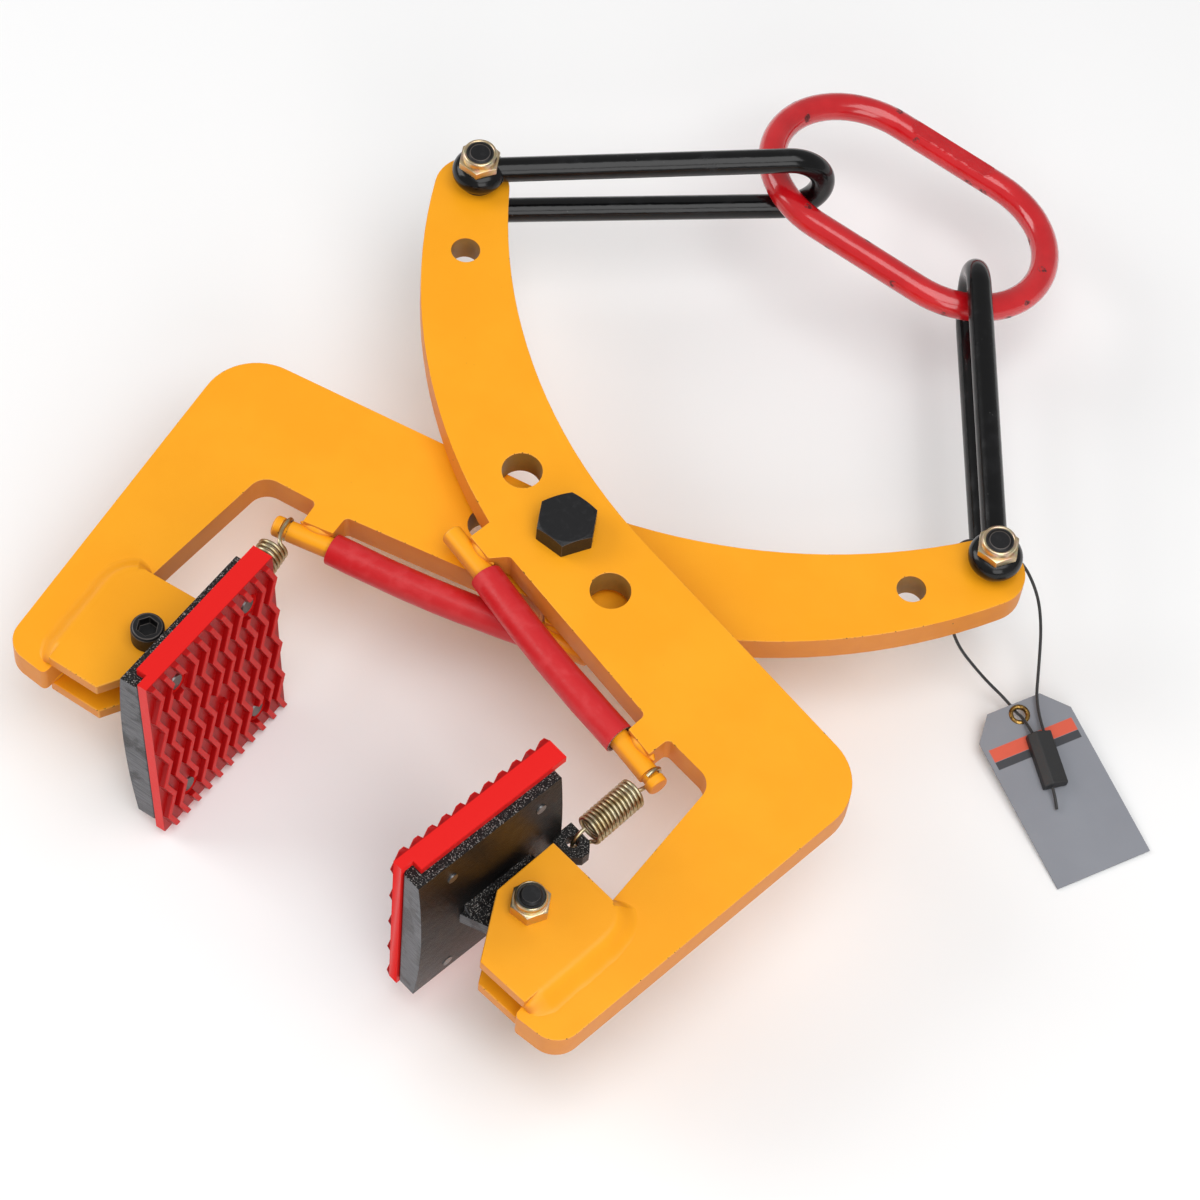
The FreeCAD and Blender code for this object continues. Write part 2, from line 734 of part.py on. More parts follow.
# Four pad screws, heads in the recesses of the pad and ends flush with the back of the slab
def makeScrews(label):
    screws = []
    head, shank = cell("screw_head") / 2, cell("screw_diameter") / 2
    seat = castingFront + cell("pad_sheet") / 2
    high = cell("screw_spacing_high") / 2
    slabRear = castingRear + high * high / (castingBulge * 2)
    length = seat - slabRear + cell("screw_past_slab")
    for i, (y, z) in enumerate(screwSpots, start=1):
        name = "%s_%d" % (label, i)
        stem = cylinder(name + "_shank", shank, length)
        crown = cone(name + "_head", head, head * 0.8, cell("screw_head_height"))
        crown.Placement = turnedAbout(along, 180)
        screw = joined(name, [stem, crown])
        screw.Placement = shifted(-seat.number, y.number, z.number) * turnedAbout(across, 90)
        screws.append(screw)
    group = doc.addObject("Part::Compound", label)
    group.Links = screws
    group.Label = label
    return group


def makeSocketScrew(label, length):
    diameter, head = cell("jaw_bolt"), cell("socket_head") / 2
    chamfer = diameter / 10
    drum = cylinder(label + "_drum", head, diameter - chamfer)
    rim = cone(label + "_rim", head, head - chamfer, chamfer, diameter - chamfer)
    knob = joined(label + "_knob", [drum, rim])
    socket = doc.addObject("Part::Prism", label + "_socket")
    socket.Polygon = 6
    bind(socket, Circumradius=cell("socket_flats") / math.sqrt(3), Height=cell("socket_depth"))
    raised(socket, diameter - cell("socket_depth"))
    head = cut(label + "_head", knob, socket)
    head.Placement = turnedAbout(along, 180)
    shank = cylinder(label + "_shank", diameter / 2, length - chamfer)
    tip = cone(label + "_tip", diameter / 2, diameter * 0.4, chamfer, length - chamfer)
    return joined(label, [head, shank, tip])


# Two circular arcs that lead smoothly from one point and direction to the next
def twoArcs(start, heading, stop, arrival):
    gapLine = stop - start
    both = heading + arrival
    turn = 2 * (1 - heading.dot(arrival))
    if turn < 1e-9:
        return [Part.LineSegment(start, stop)]
    pull = (-gapLine.dot(both) + math.sqrt(gapLine.dot(both) ** 2 + turn * gapLine.dot(gapLine))) / turn
    middle = (start + heading * pull + stop - arrival * pull) * 0.5
    return [tangentArc(start, heading, middle), tangentArc(stop, arrival * -1, middle, True)]


def tangentArc(start, heading, stop, backwards=False):
    chord = stop - start
    sideways = chord - heading * chord.dot(heading)
    if sideways.Length < 1e-7:
        ends = (stop, start) if backwards else (start, stop)
        return Part.LineSegment(*ends)
    inward = sideways.normalize()
    radius = chord.dot(chord) / (2 * chord.dot(inward))
    centre = start + inward * radius
    mid = (start + stop) * 0.5 - centre
    if chord.dot(heading) < 0:
        mid = mid * -1
    crest = centre + mid.normalize() * radius
    ends = (stop, crest, start) if backwards else (start, crest, stop)
    return Part.Arc(*ends)


def wireAlong(stations):
    edges = []
    for (start, heading), (stop, arrival) in zip(stations, stations[1:]):
        edges += [curve.toShape() for curve in twoArcs(start, heading, stop, arrival)]
    return Part.Wire(edges)


def tubeAlong(wire, diameter):
    first = wire.Edges[0]
    start, heading = first.valueAt(first.FirstParameter), first.tangentAt(first.FirstParameter)
    ring = Part.Wire([Part.Circle(start, heading, diameter / 2).toShape()])
    sweep = Part.BRepOffsetAPI.MakePipeShell(wire)
    sweep.add(ring)
    sweep.build()
    sweep.makeSolid()
    solid = sweep.shape()
    expected = math.pi * diameter ** 2 / 4 * wire.Length
    ratio = solid.Volume / expected
    print("tube length %.1f, volume against section times length %.4f" % (wire.Length, ratio))
    return solid


# Least distance between the tube and its own further turns
def leastGap(wire, diameter):
    spots = wire.discretize(Distance=0.8)
    apart = int(3 * diameter / 0.8) + 1
    least = min((spots[i] - spots[k]).Length for i in range(len(spots)) for k in range(i + apart, len(spots)))
    return least - diameter


# Stations of a tension spring from the ear hole to the bar: hook, turns, hook
def springStations(hole, bar):
    axis = (bar - hole).normalize()
    rise = (upright - axis * upright.dot(axis)).normalize()
    side = axis.cross(rise)
    wire = cell("wire_diameter").number
    radius = (cell("spring_diameter").number - wire) / 2
    span = (bar - hole).Length
    earRadius, barRadius = cell("ear_hook_radius").number, cell("bar_hook_radius").number

    def onHook(centre, hookRadius, degrees):
        angle = math.radians(degrees)
        spot = centre + (axis * math.cos(angle) + rise * math.sin(angle)) * hookRadius
        return spot, rise * math.cos(angle) - axis * math.sin(angle)

    lead = math.radians(24)
    first, last = lead, 2 * math.pi * cell("spring_turns").number - lead
    coilStart = cell("ear_hook_length").number
    climb = (span - cell("bar_hook_length").number - coilStart) / (last - first)

    def onCoil(angle):
        outward = side * math.sin(angle) - rise * math.cos(angle)
        spot = hole + axis * (coilStart + climb * (angle - first)) + outward * radius
        heading = (side * math.cos(angle) + rise * math.sin(angle)) * radius + axis * climb
        return spot, heading.normalize()

    earCentre = hole + axis * earRadius
    stations = [onHook(earCentre, earRadius, degrees) for degrees in (95, 135, 180, 225, 270)]
    tail, heading = stations[0]
    stations.insert(0, (tail - heading * wire, heading))
    halves = int((last - first) // math.pi)
    stations += [onCoil(first + math.pi * i) for i in range(halves + 1)]
    stations.append(onCoil(last))
    shank = hole + axis * (span - cell("bar_hook_lead").number) - rise * barRadius
    stations.append((shank, axis))
    stations += [onHook(bar, barRadius, degrees) for degrees in (270, 315, 360, 420, 470)]
    tail, heading = stations[-1]
    stations.append((tail + heading * wire, heading))
    return stations


def makeSpring(label, hole, bar):
    wire = wireAlong(springStations(hole, bar))
    diameter = cell("wire_diameter").number
    print("%s: least gap to itself %.2f mm" % (label, leastGap(wire, diameter)))
    spring = doc.addObject("Part::Feature", label)
    spring.Shape = tubeAlong(wire, diameter)
    spring.Label = label
    return spring


for side, trait in sides.items():
    home = trait["place"]
    jawName = trait["jaw"] + "_jaw"
    onPlate = home * shifted(0, 0, plateBottom.number)
    place(makeArm(side + "_arm"), onPlate)
    barLie = barPose(plateMid.number)
    place(makeBar(side + "_handle_bar"), home * barLie)
    hoseStart = cell("handle_length") - cell("hose_from_end") - cell("hose_length")
    place(makeHose(side + "_grip_hose"), home * barLie * shifted(0, 0, hoseStart.number))
    atPin = home * shifted(pinX.number, pinY.number, 0)
    place(makeCheek(side + "_outer_cheek"), atPin * shifted(0, 0, plateTop.number))
    place(makeCheek(side + "_inner_cheek"), atPin * shifted(0, 0, plateBottom.number - cheek.number))
    screwLength = cheek * 2 + plate + cell("jaw_nut_height") + cell("thread_past_nut")
    innerFace = plateBottom.number - cheek.number
    place(makeSocketScrew(jawName + "_pin", screwLength), atPin * shifted(0, 0, innerFace))
    nut = lockNut(jawName + "_pin_nut", cell("jaw_bolt"), cell("jaw_flats"), cell("jaw_nut_height"))
    place(nut, atPin * shifted(0, 0, plateTop.number + cheek.number))
    swing = turnedAbout(upright, -trait["turn"].number)
    jawPose = shifted(pinX.number, pinY.number, plateMid.number) * swing
    if trait["rock"] is not None:
        jawPose = jawPose * trait["rock"]
    place(makeCasting(jawName + "_casting"), home * jawPose)
    place(makePad(jawName + "_pad"), home * jawPose)
    place(makeScrews(jawName + "_pad_screws"), home * jawPose)
    barEnd = cell("handle_length").number - cell("groove_from_end").number
    hook = barLie.multVec(Vector(0, 0, barEnd))
    ear = jawPose.multVec(Vector(cell("ear_hole_x").number, cell("ear_hole_y").number, 0))
    place(makeSpring(trait["jaw"] + "_spring", ear, hook), home)

# Main pivot: the bolt comes from above, the lock nut and washer sit under the rear arm
pivotLength = plate * 2 + gap + cell("pivot_washer") + cell("pivot_nut_height") + cell("thread_past_nut")
bolt = hexBolt("pivot_bolt", cell("pivot_bolt"), cell("pivot_flats"), cell("pivot_head"), pivotLength)
turnOver = turnedAbout(along, 180)
place(bolt, frame * shifted(0, 0, plateTop.number) * turnOver)
pivotRadius = cell("pivot_bolt") / 2
spacer = washer("pivot_spacer", pivotRadius, cell("spacer_outer") / 2, gap)
place(spacer, frame * shifted(0, 0, -gap.number / 2))
lowFace = -plateTop.number - cell("pivot_washer").number
place(washer("pivot_washer", pivotRadius, cell("pivot_washer_outer") / 2, cell("pivot_washer")),
      frame * shifted(0, 0, lowFace))
nut = lockNut("pivot_nut", cell("pivot_bolt"), cell("pivot_flats"), cell("pivot_nut_height"))
place(nut, frame * shifted(0, 0, lowFace) * turnOver)

rod = cell("rod_diameter")
eyeHeight = plate / 2 + cell("link_washer") + cell("link_play") + rod / 2
stackHalf = eyeHeight + rod / 2 + cell("link_play")


# Round bar bent double, with a rounded eye at each end
def makeLink(label):
    body = newBody(label)
    bend = cell("bend_radius")
    bendX = cell("link_length") - bend - rod / 2
    reach = math.hypot(bendX.number, eyeHeight.number)
    slope = math.asin(bend.number / reach) - math.atan2(eyeHeight.number, bendX.number)
    centre = Vector(bendX.number, 0, 0)
    top = centre + Vector(-math.sin(slope), math.cos(slope), 0) * bend.number
    bottom = Vector(top.x, -top.y, 0)
    path = newSketch(body, label + "_path", "XZ_Plane")
    path.addGeometry(Part.LineSegment(Vector(0, eyeHeight.number, 0), top))
    path.addGeometry(arcBetween(centre, bend.number, bottom, top))
    path.addGeometry(Part.LineSegment(bottom, Vector(0, -eyeHeight.number, 0)))
    path.addConstraint(Sketcher.Constraint("Tangent", 0, 2, 1, 2))
    path.addConstraint(Sketcher.Constraint("Tangent", 1, 1, 2, 1))
    holdPoint(path, 0, 1, 0, eyeHeight)
    holdPoint(path, 2, 2, 0, -eyeHeight)
    holdPoint(path, 1, 3, bendX, 0)
    holdRadius(path, 1, bend)
    section = newSketch(body, label + "_section", "YZ_Plane")
    drawCircle(section, 0, eyeHeight, rod / 2)
    doc.recompute()
    pipe = body.newObject("PartDesign::AdditivePipe", label + "_rod")
    pipe.Profile = section
    pipe.Spine = (path, ["Edge1", "Edge2", "Edge3"])
    eyes = newSketch(body, label + "_eye_profile", "XZ_Plane")
    seat = cell("eye_diameter") / 2 - rod / 2
    for level in (eyeHeight, -eyeHeight):
        low, high = level - rod / 2, level + rod / 2
        drawBowed(eyes, [(seat, high), (0, high), (0, low), (seat, low)], (seat, level))
    addTurned(body, eyes, label + "_eyes")
    bore = newSketch(body, label + "_bore_outline")
    drawCircle(bore, 0, 0, cell("link_bolt") / 2 + cell("bore_clearance"))
    addPocket(body, bore, label + "_bores")
    return body


linkX, linkY = point("link_hole")
links = {"left": (linkX.number, plateMid.number), "right": (-linkX.number, -plateMid.number)}
for name, (x, z) in links.items():
    atBolt = frame * shifted(x, linkY.number, z)
    lay = turnedAbout(upright, cell(name + "_link_angle").number)
    place(makeLink(name + "_link"), atBolt * lay)
    boltLength = stackHalf * 2 + cell("link_nut_height") + cell("thread_past_nut")
    bolt = hexBolt(name + "_link_bolt", cell("link_bolt"), cell("link_flats"), cell("link_head"), boltLength)
    place(bolt, atBolt * shifted(0, 0, -stackHalf.number))
    nut = lockNut(name + "_link_nut", cell("link_bolt"), cell("link_flats"), cell("link_nut_height"))
    place(nut, atBolt * shifted(0, 0, stackHalf.number))
    washers = doc.addObject("Part::Compound", name + "_link_washers")
    washers.Label = name + "_link_washers"
    pair = []
    for level in ("upper", "lower"):
        ringName = "%s_link_%s_washer" % (name, level)
        inner, outer = cell("link_bolt") / 2, cell("link_washer_outer") / 2
        ring = washer(ringName, inner, outer, cell("link_washer"))
        raised(ring, plate / 2 if level == "upper" else -(plate / 2 + cell("link_washer")))
        pair.append(ring)
    washers.Links = pair
    place(washers, atBolt)


# Oblong master link with a flat on its far side
def makeRing(label):
    bar, bend, straight = cell("ring_bar") / 2, cell("ring_radius"), cell("ring_straight")
    pieces = []
    for name, sign in (("right", 1), ("left", -1)):
        half = doc.addObject("Part::Torus", "%s_%s_end" % (label, name))
        bind(half, Radius1=bend, Radius2=bar)
        half.Angle3 = 180
        half.Placement = shifted(sign * straight.number / 2, 0, 0) * turnedAbout(upright, -90 * sign)
        half.setExpression("Placement.Base.x", (straight * (sign / 2)).text)
        pieces.append(half)
    for name, sign in (("far", 1), ("near", -1)):
        run = cylinder("%s_%s_side" % (label, name), bar, straight)
        run.Placement = shifted(-straight.number / 2, sign * bend.number, 0) * turnedAbout(across, 90)
        run.setExpression("Placement.Base.x", (straight * -0.5).text)
        run.setExpression("Placement.Base.y", (bend * sign).text)
        pieces.append(run)
    loop = joined(label + "_loop", pieces)
    block = doc.addObject("Part::Box", label + "_flat")
    depth = cell("ring_flat_depth")
    bind(block, Length=cell("ring_flat_length"), Width=bar * 2, Height=depth * 2)
    tilt = shifted(0, bend.number, 0) * turnedAbout(along, cell("ring_flat_tilt").number)
    block.Placement = tilt * shifted(-block.Length.Value / 2, -bar.number, bar.number - depth.number)
    return cut(label, loop, block)


ringPose = frame * shifted(cell("ring_x").number, cell("ring_y").number, cell("ring_z").number)
ringPose = ringPose * turnedAbout(upright, cell("ring_yaw").number)
ringPose = ringPose * turnedAbout(across, cell("ring_pitch").number)
ringPose = ringPose * turnedAbout(along, cell("ring_roll").number)
place(makeRing("master_link"), ringPose)


# Identity tag, blank, with a brass eyelet, a cord and a cord lock
def makeTag(label):
    body = newBody(label)
    outline = newSketch(body, label + "_outline")
    end, clip = -cell("tag_end"), cell("tag_clip") - cell("tag_end")
    foot = cell("tag_length") - cell("tag_end")
    half, endHalf = cell("tag_width") / 2, cell("tag_end_width") / 2
    drawPolygon(outline, [(end, -endHalf), (clip, -half), (foot, -half),
                          (foot, half), (clip, half), (end, endHalf)])
    drawCircle(outline, 0, 0, cell("eyelet_tube") / 2)
    addPad(body, outline, label + "_sheet", cell("tag_thickness"), both=True)
    return body


def makeEyelet(label):
    bore, tube, flange = cell("eyelet_bore") / 2, cell("eyelet_tube") / 2, cell("eyelet_flange") / 2
    seat = cell("tag_thickness") / 2
    top = seat + cell("eyelet_rim")
    return turnedBody(label, [(bore, -top), (flange, -top), (flange, -seat), (tube, -seat), (tube, seat),
                              (flange, seat), (flange, top), (bore, top)])


# Crimped block with a ridge along its top
def makeLock(label):
    body = newBody(label)
    profile = newSketch(body, label + "_profile", "YZ_Plane")
    half, high, ridge = cell("lock_width") / 2, cell("lock_height") / 2, cell("lock_ridge")
    eaves = high / 4
    drawPolygon(profile, [(-half, -high), (half, -high), (half, eaves), (ridge, high), (-half, eaves)])
    addPad(body, profile, label + "_block", cell("lock_length"), both=True)
    return body


tagPose = frame * shifted(cell("tag_x").number, cell("tag_y").number, cell("tag_z").number)
tagPose = tagPose * turnedAbout(upright, cell("tag_yaw").number)
tagPose = tagPose * turnedAbout(across, cell("tag_slope").number)
place(makeTag("tag"), tagPose)
place(makeEyelet("tag_eyelet"), tagPose)
lockRise = cell("tag_thickness").number / 2 + cell("lock_height").number / 2 + cell("lock_above").number
lockPose = tagPose * shifted(cell("lock_from_eyelet").number, cell("lock_aside").number, lockRise)
place(makeLock("cord_lock"), lockPose * turnedAbout(upright, cell("lock_turn").number))


# Cord laid as straight runs joined by arcs that touch both runs
def cordWire(route):
    edges = []
    here = route[0]
    radii = []
    for before, corner, after in zip(route, route[1:], route[2:]):
        back, ahead = (before - corner), (after - corner)
        shorter = min(back.Length, ahead.Length)
        back, ahead = Vector(back).normalize(), Vector(ahead).normalize()
        half = (math.pi - back.getAngle(ahead)) / 2
        cutBack = 0.45 * shorter
        radius = cutBack / math.tan(half)
        start, stop = corner + back * cutBack, corner + ahead * cutBack
        inward = (back + ahead).normalize()
        crest = corner + inward * (radius / math.cos(half) - radius)
        edges += [Part.LineSegment(here, start).toShape(), Part.Arc(start, crest, stop).toShape()]
        here = stop
        radii.append(round(radius, 1))
    edges.append(Part.LineSegment(here, route[-1]).toShape())
    print("cord radii", radii)
    return Part.Wire(edges)


def makeCord(label, route):
    cord = doc.addObject("Part::Feature", label)
    cord.Shape = tubeAlong(cordWire([Vector(*spot) for spot in route]), cell("cord_diameter").number)
    cord.Label = label
    return cord


# Route of the loop about the pivot: from the lock over the lower rod of the right link, through the eyelet
loopRoute = [(250.5, 114.15, -63.05), (237.8, 124, -63.3), (225.6, 142.9, -58), (213.6, 159.2, -47.3),
             (201.9, 168.7, -36.6), (185.1, 173.5, -25.5), (163.8, 167.6, -21.6), (151, 157.5, -25),
             (166, 132, -25.5), (183.9, 111.1, -32), (205.1, 117.7, -59.5), (221.4, 119.9, -69.1),
             (230.7, 116.9, -69.1), (236.3, 114.1, -63.8), (246.8, 108.9, -62.95)]
place(makeCord("tag_cord", loopRoute), frame)
tailRoute = [(274, 90.2, -65.8), (278.4, 86.9, -66.6), (282.9, 82.8, -69.4)]
place(makeCord("tag_cord_tail", tailRoute), frame)

doc.recompute()

# Check every feature, then write each sub-part
os.makedirs("parts", exist_ok=True)
for item in doc.Objects:
    if "Invalid" in item.State or "Error" in item.State:
        raise RuntimeError("%s failed to compute" % item.Label)
for item in nodes:
    if item.Shape.isNull() or not item.Shape.isValid():
        raise RuntimeError("%s has no valid shape" % item.Label)
for item in nodes:
    item.Shape.exportStep("parts/%s.step" % item.Label)
    print("%-28s %10.1f mm3" % (item.Label, item.Shape.Volume))
box = FreeCAD.BoundBox()
for item in nodes:
    if "tag" not in item.Label and "lock" not in item.Label:
        box.add(item.Shape.optimalBoundingBox())
print("size %.1f x %.1f x %.1f" % (box.XLength, box.YLength, box.ZLength))
print("centre %.2f %.2f, lowest point %.2f" % (box.Center.x, box.Center.y, box.ZMin))
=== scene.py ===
import bpy
import bmesh
import json
import math
from mathutils import Matrix, Vector, noise


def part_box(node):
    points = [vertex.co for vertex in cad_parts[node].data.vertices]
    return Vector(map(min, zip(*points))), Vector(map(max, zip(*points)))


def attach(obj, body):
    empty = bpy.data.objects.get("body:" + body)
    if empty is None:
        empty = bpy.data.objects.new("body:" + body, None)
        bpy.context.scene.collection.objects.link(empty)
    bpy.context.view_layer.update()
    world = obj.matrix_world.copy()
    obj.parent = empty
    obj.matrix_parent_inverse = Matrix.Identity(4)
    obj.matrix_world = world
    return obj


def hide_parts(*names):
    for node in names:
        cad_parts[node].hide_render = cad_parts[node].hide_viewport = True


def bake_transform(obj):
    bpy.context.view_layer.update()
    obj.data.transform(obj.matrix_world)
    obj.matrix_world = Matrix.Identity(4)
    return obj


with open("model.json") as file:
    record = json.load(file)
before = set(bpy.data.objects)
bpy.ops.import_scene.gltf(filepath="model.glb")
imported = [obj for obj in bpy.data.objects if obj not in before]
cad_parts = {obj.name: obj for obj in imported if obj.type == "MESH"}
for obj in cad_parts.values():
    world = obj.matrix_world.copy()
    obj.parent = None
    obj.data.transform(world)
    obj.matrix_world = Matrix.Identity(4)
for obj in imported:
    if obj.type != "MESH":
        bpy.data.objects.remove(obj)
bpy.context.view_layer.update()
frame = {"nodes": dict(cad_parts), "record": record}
nodes = frame["nodes"]
mm = 0.001
pivot = Vector((0, -0.06811, 0.07627))  # main pivot, midway between the two arm plates
print("frame loaded:", len(nodes), "nodes")


def atPivot(x, y, z):  # millimetres about the main pivot
    return pivot + Vector((x, y, z)) * mm


def screenColour(red, green, blue):  # 8-bit screen colour as the shader's linear one
    parts = [c / 255 for c in (red, green, blue)]
    return tuple(c / 12.92 if c < 0.04 else ((c + 0.055) / 1.055) ** 2.4 for c in parts) + (1,)


class Strand:  # a shader socket that takes part in sums
    def __init__(self, finish, socket):
        self.finish = finish
        self.socket = socket

    def calc(self, operation, *values):
        return self.finish.add("ShaderNodeMath", {"operation": operation}, dict(enumerate(values)))

    def __add__(self, other):
        return self.calc("ADD", self, other)

    def __radd__(self, other):
        return self.calc("ADD", other, self)

    def __sub__(self, other):
        return self.calc("SUBTRACT", self, other)

    def __rsub__(self, other):
        return self.calc("SUBTRACT", other, self)

    def __mul__(self, other):
        return self.calc("MULTIPLY", self, other)

    def __rmul__(self, other):
        return self.calc("MULTIPLY", other, self)

    def __abs__(self):
        return self.calc("ABSOLUTE", self)


class Finish:  # one material and its nodes
    def __init__(self, name, fixed):
        self.material = bpy.data.materials.new(name)
        self.material.use_nodes = True
        self.tree = self.material.node_tree
        self.shader = self.tree.nodes["Principled BSDF"]
        self.place = self.add("ShaderNodeTexCoord", out="Object")
        self.set(fixed)

    def plug(self, socket, value):
        if isinstance(value, Strand):
            self.tree.links.new(value.socket, socket)
        else:
            socket.default_value = value

    def add(self, kind, settings=None, sockets=None, out=0):
        node = self.tree.nodes.new(kind)
        for name, value in (settings or {}).items():
            setattr(node, name, value)
        for name, value in (sockets or {}).items():
            self.plug(node.inputs[name], value)
        return Strand(self, node.outputs[out])

    def set(self, values):
        for name, value in values.items():
            self.plug(self.shader.inputs[name], value)

    def grain(self, size, detail=2.0, rough=0.5, warp=0.0, at=None):  # noise with features of this size in mm
        return self.add("ShaderNodeTexNoise", None, {
            "Vector": at or self.place, "Scale": 1 / (size * mm), "Detail": detail,
            "Roughness": rough, "Distortion": warp}, "Fac")

    def cells(self, size):  # distance from the middles of cells of this size in mm
        sockets = {"Vector": self.place, "Scale": 1 / (size * mm)}
        return self.add("ShaderNodeTexVoronoi", None, sockets, "Distance")

    def ramp(self, value, low, high):  # 0 at low, 1 at high and smooth between
        sockets = {"Value": value, "From Min": low, "From Max": high}
        return self.add("ShaderNodeMapRange", {"interpolation_type": "SMOOTHSTEP"}, sockets, "Result")

    def mix(self, mask, first, second):  # from the first colour to the second
        return self.add("ShaderNodeMix", {"data_type": "RGBA"}, {0: mask, 6: first, 7: second}, 2)

    def stretched(self, x, y, z):  # object coordinates for a pattern stretched along the axes
        sockets = {"Vector": self.place, "Scale": (x, y, z)}
        return self.add("ShaderNodeMapping", {"vector_type": "TEXTURE"}, sockets, "Vector")

    def parts(self, vector):  # x, y and z of a vector
        split = self.add("ShaderNodeSeparateXYZ", None, {0: vector})
        return [Strand(self, socket) for socket in split.socket.node.outputs]

    def facing(self):  # parts of the surface direction
        return self.parts(self.add("ShaderNodeTexCoord", None, None, "Normal"))

    def where(self):  # parts of the object coordinates
        return self.parts(self.place)

    def drawn(self, name):  # a value drawn on the mesh under this name
        return self.add("ShaderNodeAttribute", {"attribute_name": name}, None, "Fac")

    def onPlate(self, origin, turn):  # millimetres along, across and above a turned plate
        sockets = {"Vector": self.place, "Location": origin, "Rotation": turn, "Scale": (mm, mm, mm)}
        return self.parts(self.add("ShaderNodeMapping", {"vector_type": "TEXTURE"}, sockets, "Vector"))

    def between(self, value, low, high, soft):  # 1 from low to high, falling off over soft
        return self.ramp(value, low - soft, low + soft) * self.ramp(value, high + soft, high - soft)

    def bump(self, height, depth, under=None):  # height from 0 to 1 over this depth in mm
        sockets = {"Height": height, "Distance": depth * mm, "Strength": 1.0}
        if under is not None:
            sockets["Normal"] = under
        return self.add("ShaderNodeBump", None, sockets, "Normal")


# Finishes: colours, then sizes of the patterns and depths of the bumps in mm
armLook = {"face": screenColour(245, 162, 22), "edge": screenColour(214, 130, 50),
           "fleck": screenColour(70, 52, 30), "glow": screenColour(248, 167, 27),
           "rub": screenColour(250, 184, 84), "bore": screenColour(146, 112, 54),
           "cloudSize": 60, "edgeSize": 9, "boreSize": 3, "fleckSize": 7, "fleckPatch": 26, "rimPatch": 34,
           "chipSize": 1.8, "glossSize": 14, "peelSize": 2.4, "peelDepth": 0.035,
           "waveSize": 24, "waveDepth": 0.12}


def armPaint():
    finish = Finish("arm_paint", {"Specular IOR Level": 0.32})
    # side faces painted darker and browner: painted shade on faces turned away from the overhead light, and
    # the cut edges' own browner tone
    side = finish.ramp(abs(finish.facing()[2]), 0.75, 0.45)
    cloud = finish.grain(armLook["cloudSize"], 3, 0.6)
    face = finish.mix(finish.ramp(cloud, 0.35, 0.7), armLook["face"], armLook["glow"])
    colour = finish.mix(side * (0.75 + 0.25 * finish.grain(armLook["edgeSize"], 3)), face, armLook["edge"])
    # hole walls painted olive-brown: painted shade inside the holes, and the bores' unpainted wall
    inHole = finish.drawn("holeWall") * (0.7 + 0.3 * finish.grain(armLook["boreSize"], 3))
    colour = finish.mix(inHole, colour, armLook["bore"])
    flecks = finish.ramp(finish.cells(armLook["fleckSize"]), 0.09, 0.05)
    flecks = flecks * finish.ramp(finish.grain(armLook["fleckPatch"], 2), 0.56, 0.66)
    flecks = flecks * (0.25 + 0.75 * side)
    # paler rims on the eased edges, in patches: painted highlight along the edges, and rubbed paint
    rim = finish.drawn("edgeRub") * finish.ramp(finish.grain(armLook["rimPatch"], 2), 0.42, 0.58)
    chips = rim * finish.ramp(finish.grain(armLook["chipSize"], 3, 0.65), 0.58, 0.66)
    colour = finish.mix(rim * 0.35, colour, armLook["rub"])
    bare = finish.ramp(flecks * 0.8 + chips, 0, 1)
    finish.set({"Base Color": finish.mix(bare, colour, armLook["fleck"]),
                "Roughness": 0.3 + 0.12 * finish.grain(armLook["glossSize"], 3) + 0.12 * side})
    peel = finish.bump(finish.grain(armLook["peelSize"], 2, 0.5), armLook["peelDepth"])
    finish.set({"Normal": finish.bump(finish.grain(armLook["waveSize"], 3, 0.5), armLook["waveDepth"], peel)})
    return finish.material


castLook = {"cast": screenColour(12, 12, 13), "dust": screenColour(36, 35, 35),
            "ground": screenColour(120, 120, 123), "streak": screenColour(82, 82, 85),
            "glint": screenColour(176, 174, 170),
            "skinPatch": 16, "streakSize": 1.4, "streakStretch": (9, 9, 0.35), "sandSize": 1.1,
            "sandDepth": 0.7, "glintSize": 0.75, "waveSize": 7, "waveDepth": 0.4}


def castBlack():
    finish = Finish("cast_black", {"Specular IOR Level": 0.28})
    turned = finish.facing()
    endFace = finish.ramp(abs(turned[1]), 0.86, 0.95)  # the slab's ends are ground
    skin = finish.grain(castLook["skinPatch"], 3, 0.6, 0.4)  # left in the lows of the ground ends
    bared = finish.ramp(skin, 0.38, 0.5)
    endFace = endFace * (0.25 + 0.75 * bared)
    rough = finish.ramp(abs(turned[2]) + 0.6 * finish.drawn("edgeRub"), 0.4, 0.7) * (1 - endFace)
    streaks = finish.grain(castLook["streakSize"], 3, 0.6, 0.3, finish.stretched(*castLook["streakStretch"]))
    ground = finish.mix(finish.ramp(streaks, 0.35, 0.68), castLook["ground"], castLook["streak"])
    sand = finish.grain(castLook["sandSize"], 4, 0.7)
    cast = finish.mix(finish.ramp(sand, 0.52, 0.8), castLook["cast"], castLook["dust"])
    # painted glints: pale specks with lower roughness on the as-cast faces that look up or down and on their
    # rims
    glints = rough * finish.ramp(finish.grain(castLook["glintSize"], 2, 0.6), 0.57, 0.66)
    cast = finish.mix(glints * 0.8, cast, castLook["glint"])
    finish.set({"Base Color": finish.mix(endFace, cast, ground),
                "Roughness": 0.24 + 0.16 * sand + 0.22 * endFace + 0.25 * rough - 0.2 * glints,
                "Metallic": 0.35 * endFace})
    pits = finish.bump(sand * (0.25 + 0.75 * rough), castLook["sandDepth"])
    finish.set({"Normal": finish.bump(finish.grain(castLook["waveSize"], 3), castLook["waveDepth"], pits)})
    return finish.material


padLook = {"groove": screenColour(158, 8, 10), "lip": screenColour(222, 30, 28),
           "rib": screenColour(200, 30, 28), "bloomAndSheen": screenColour(208, 70, 64),
           "cloudSize": 18, "cloudDepth": 0.2, "skinSize": 1.6, "skinDepth": 0.05}


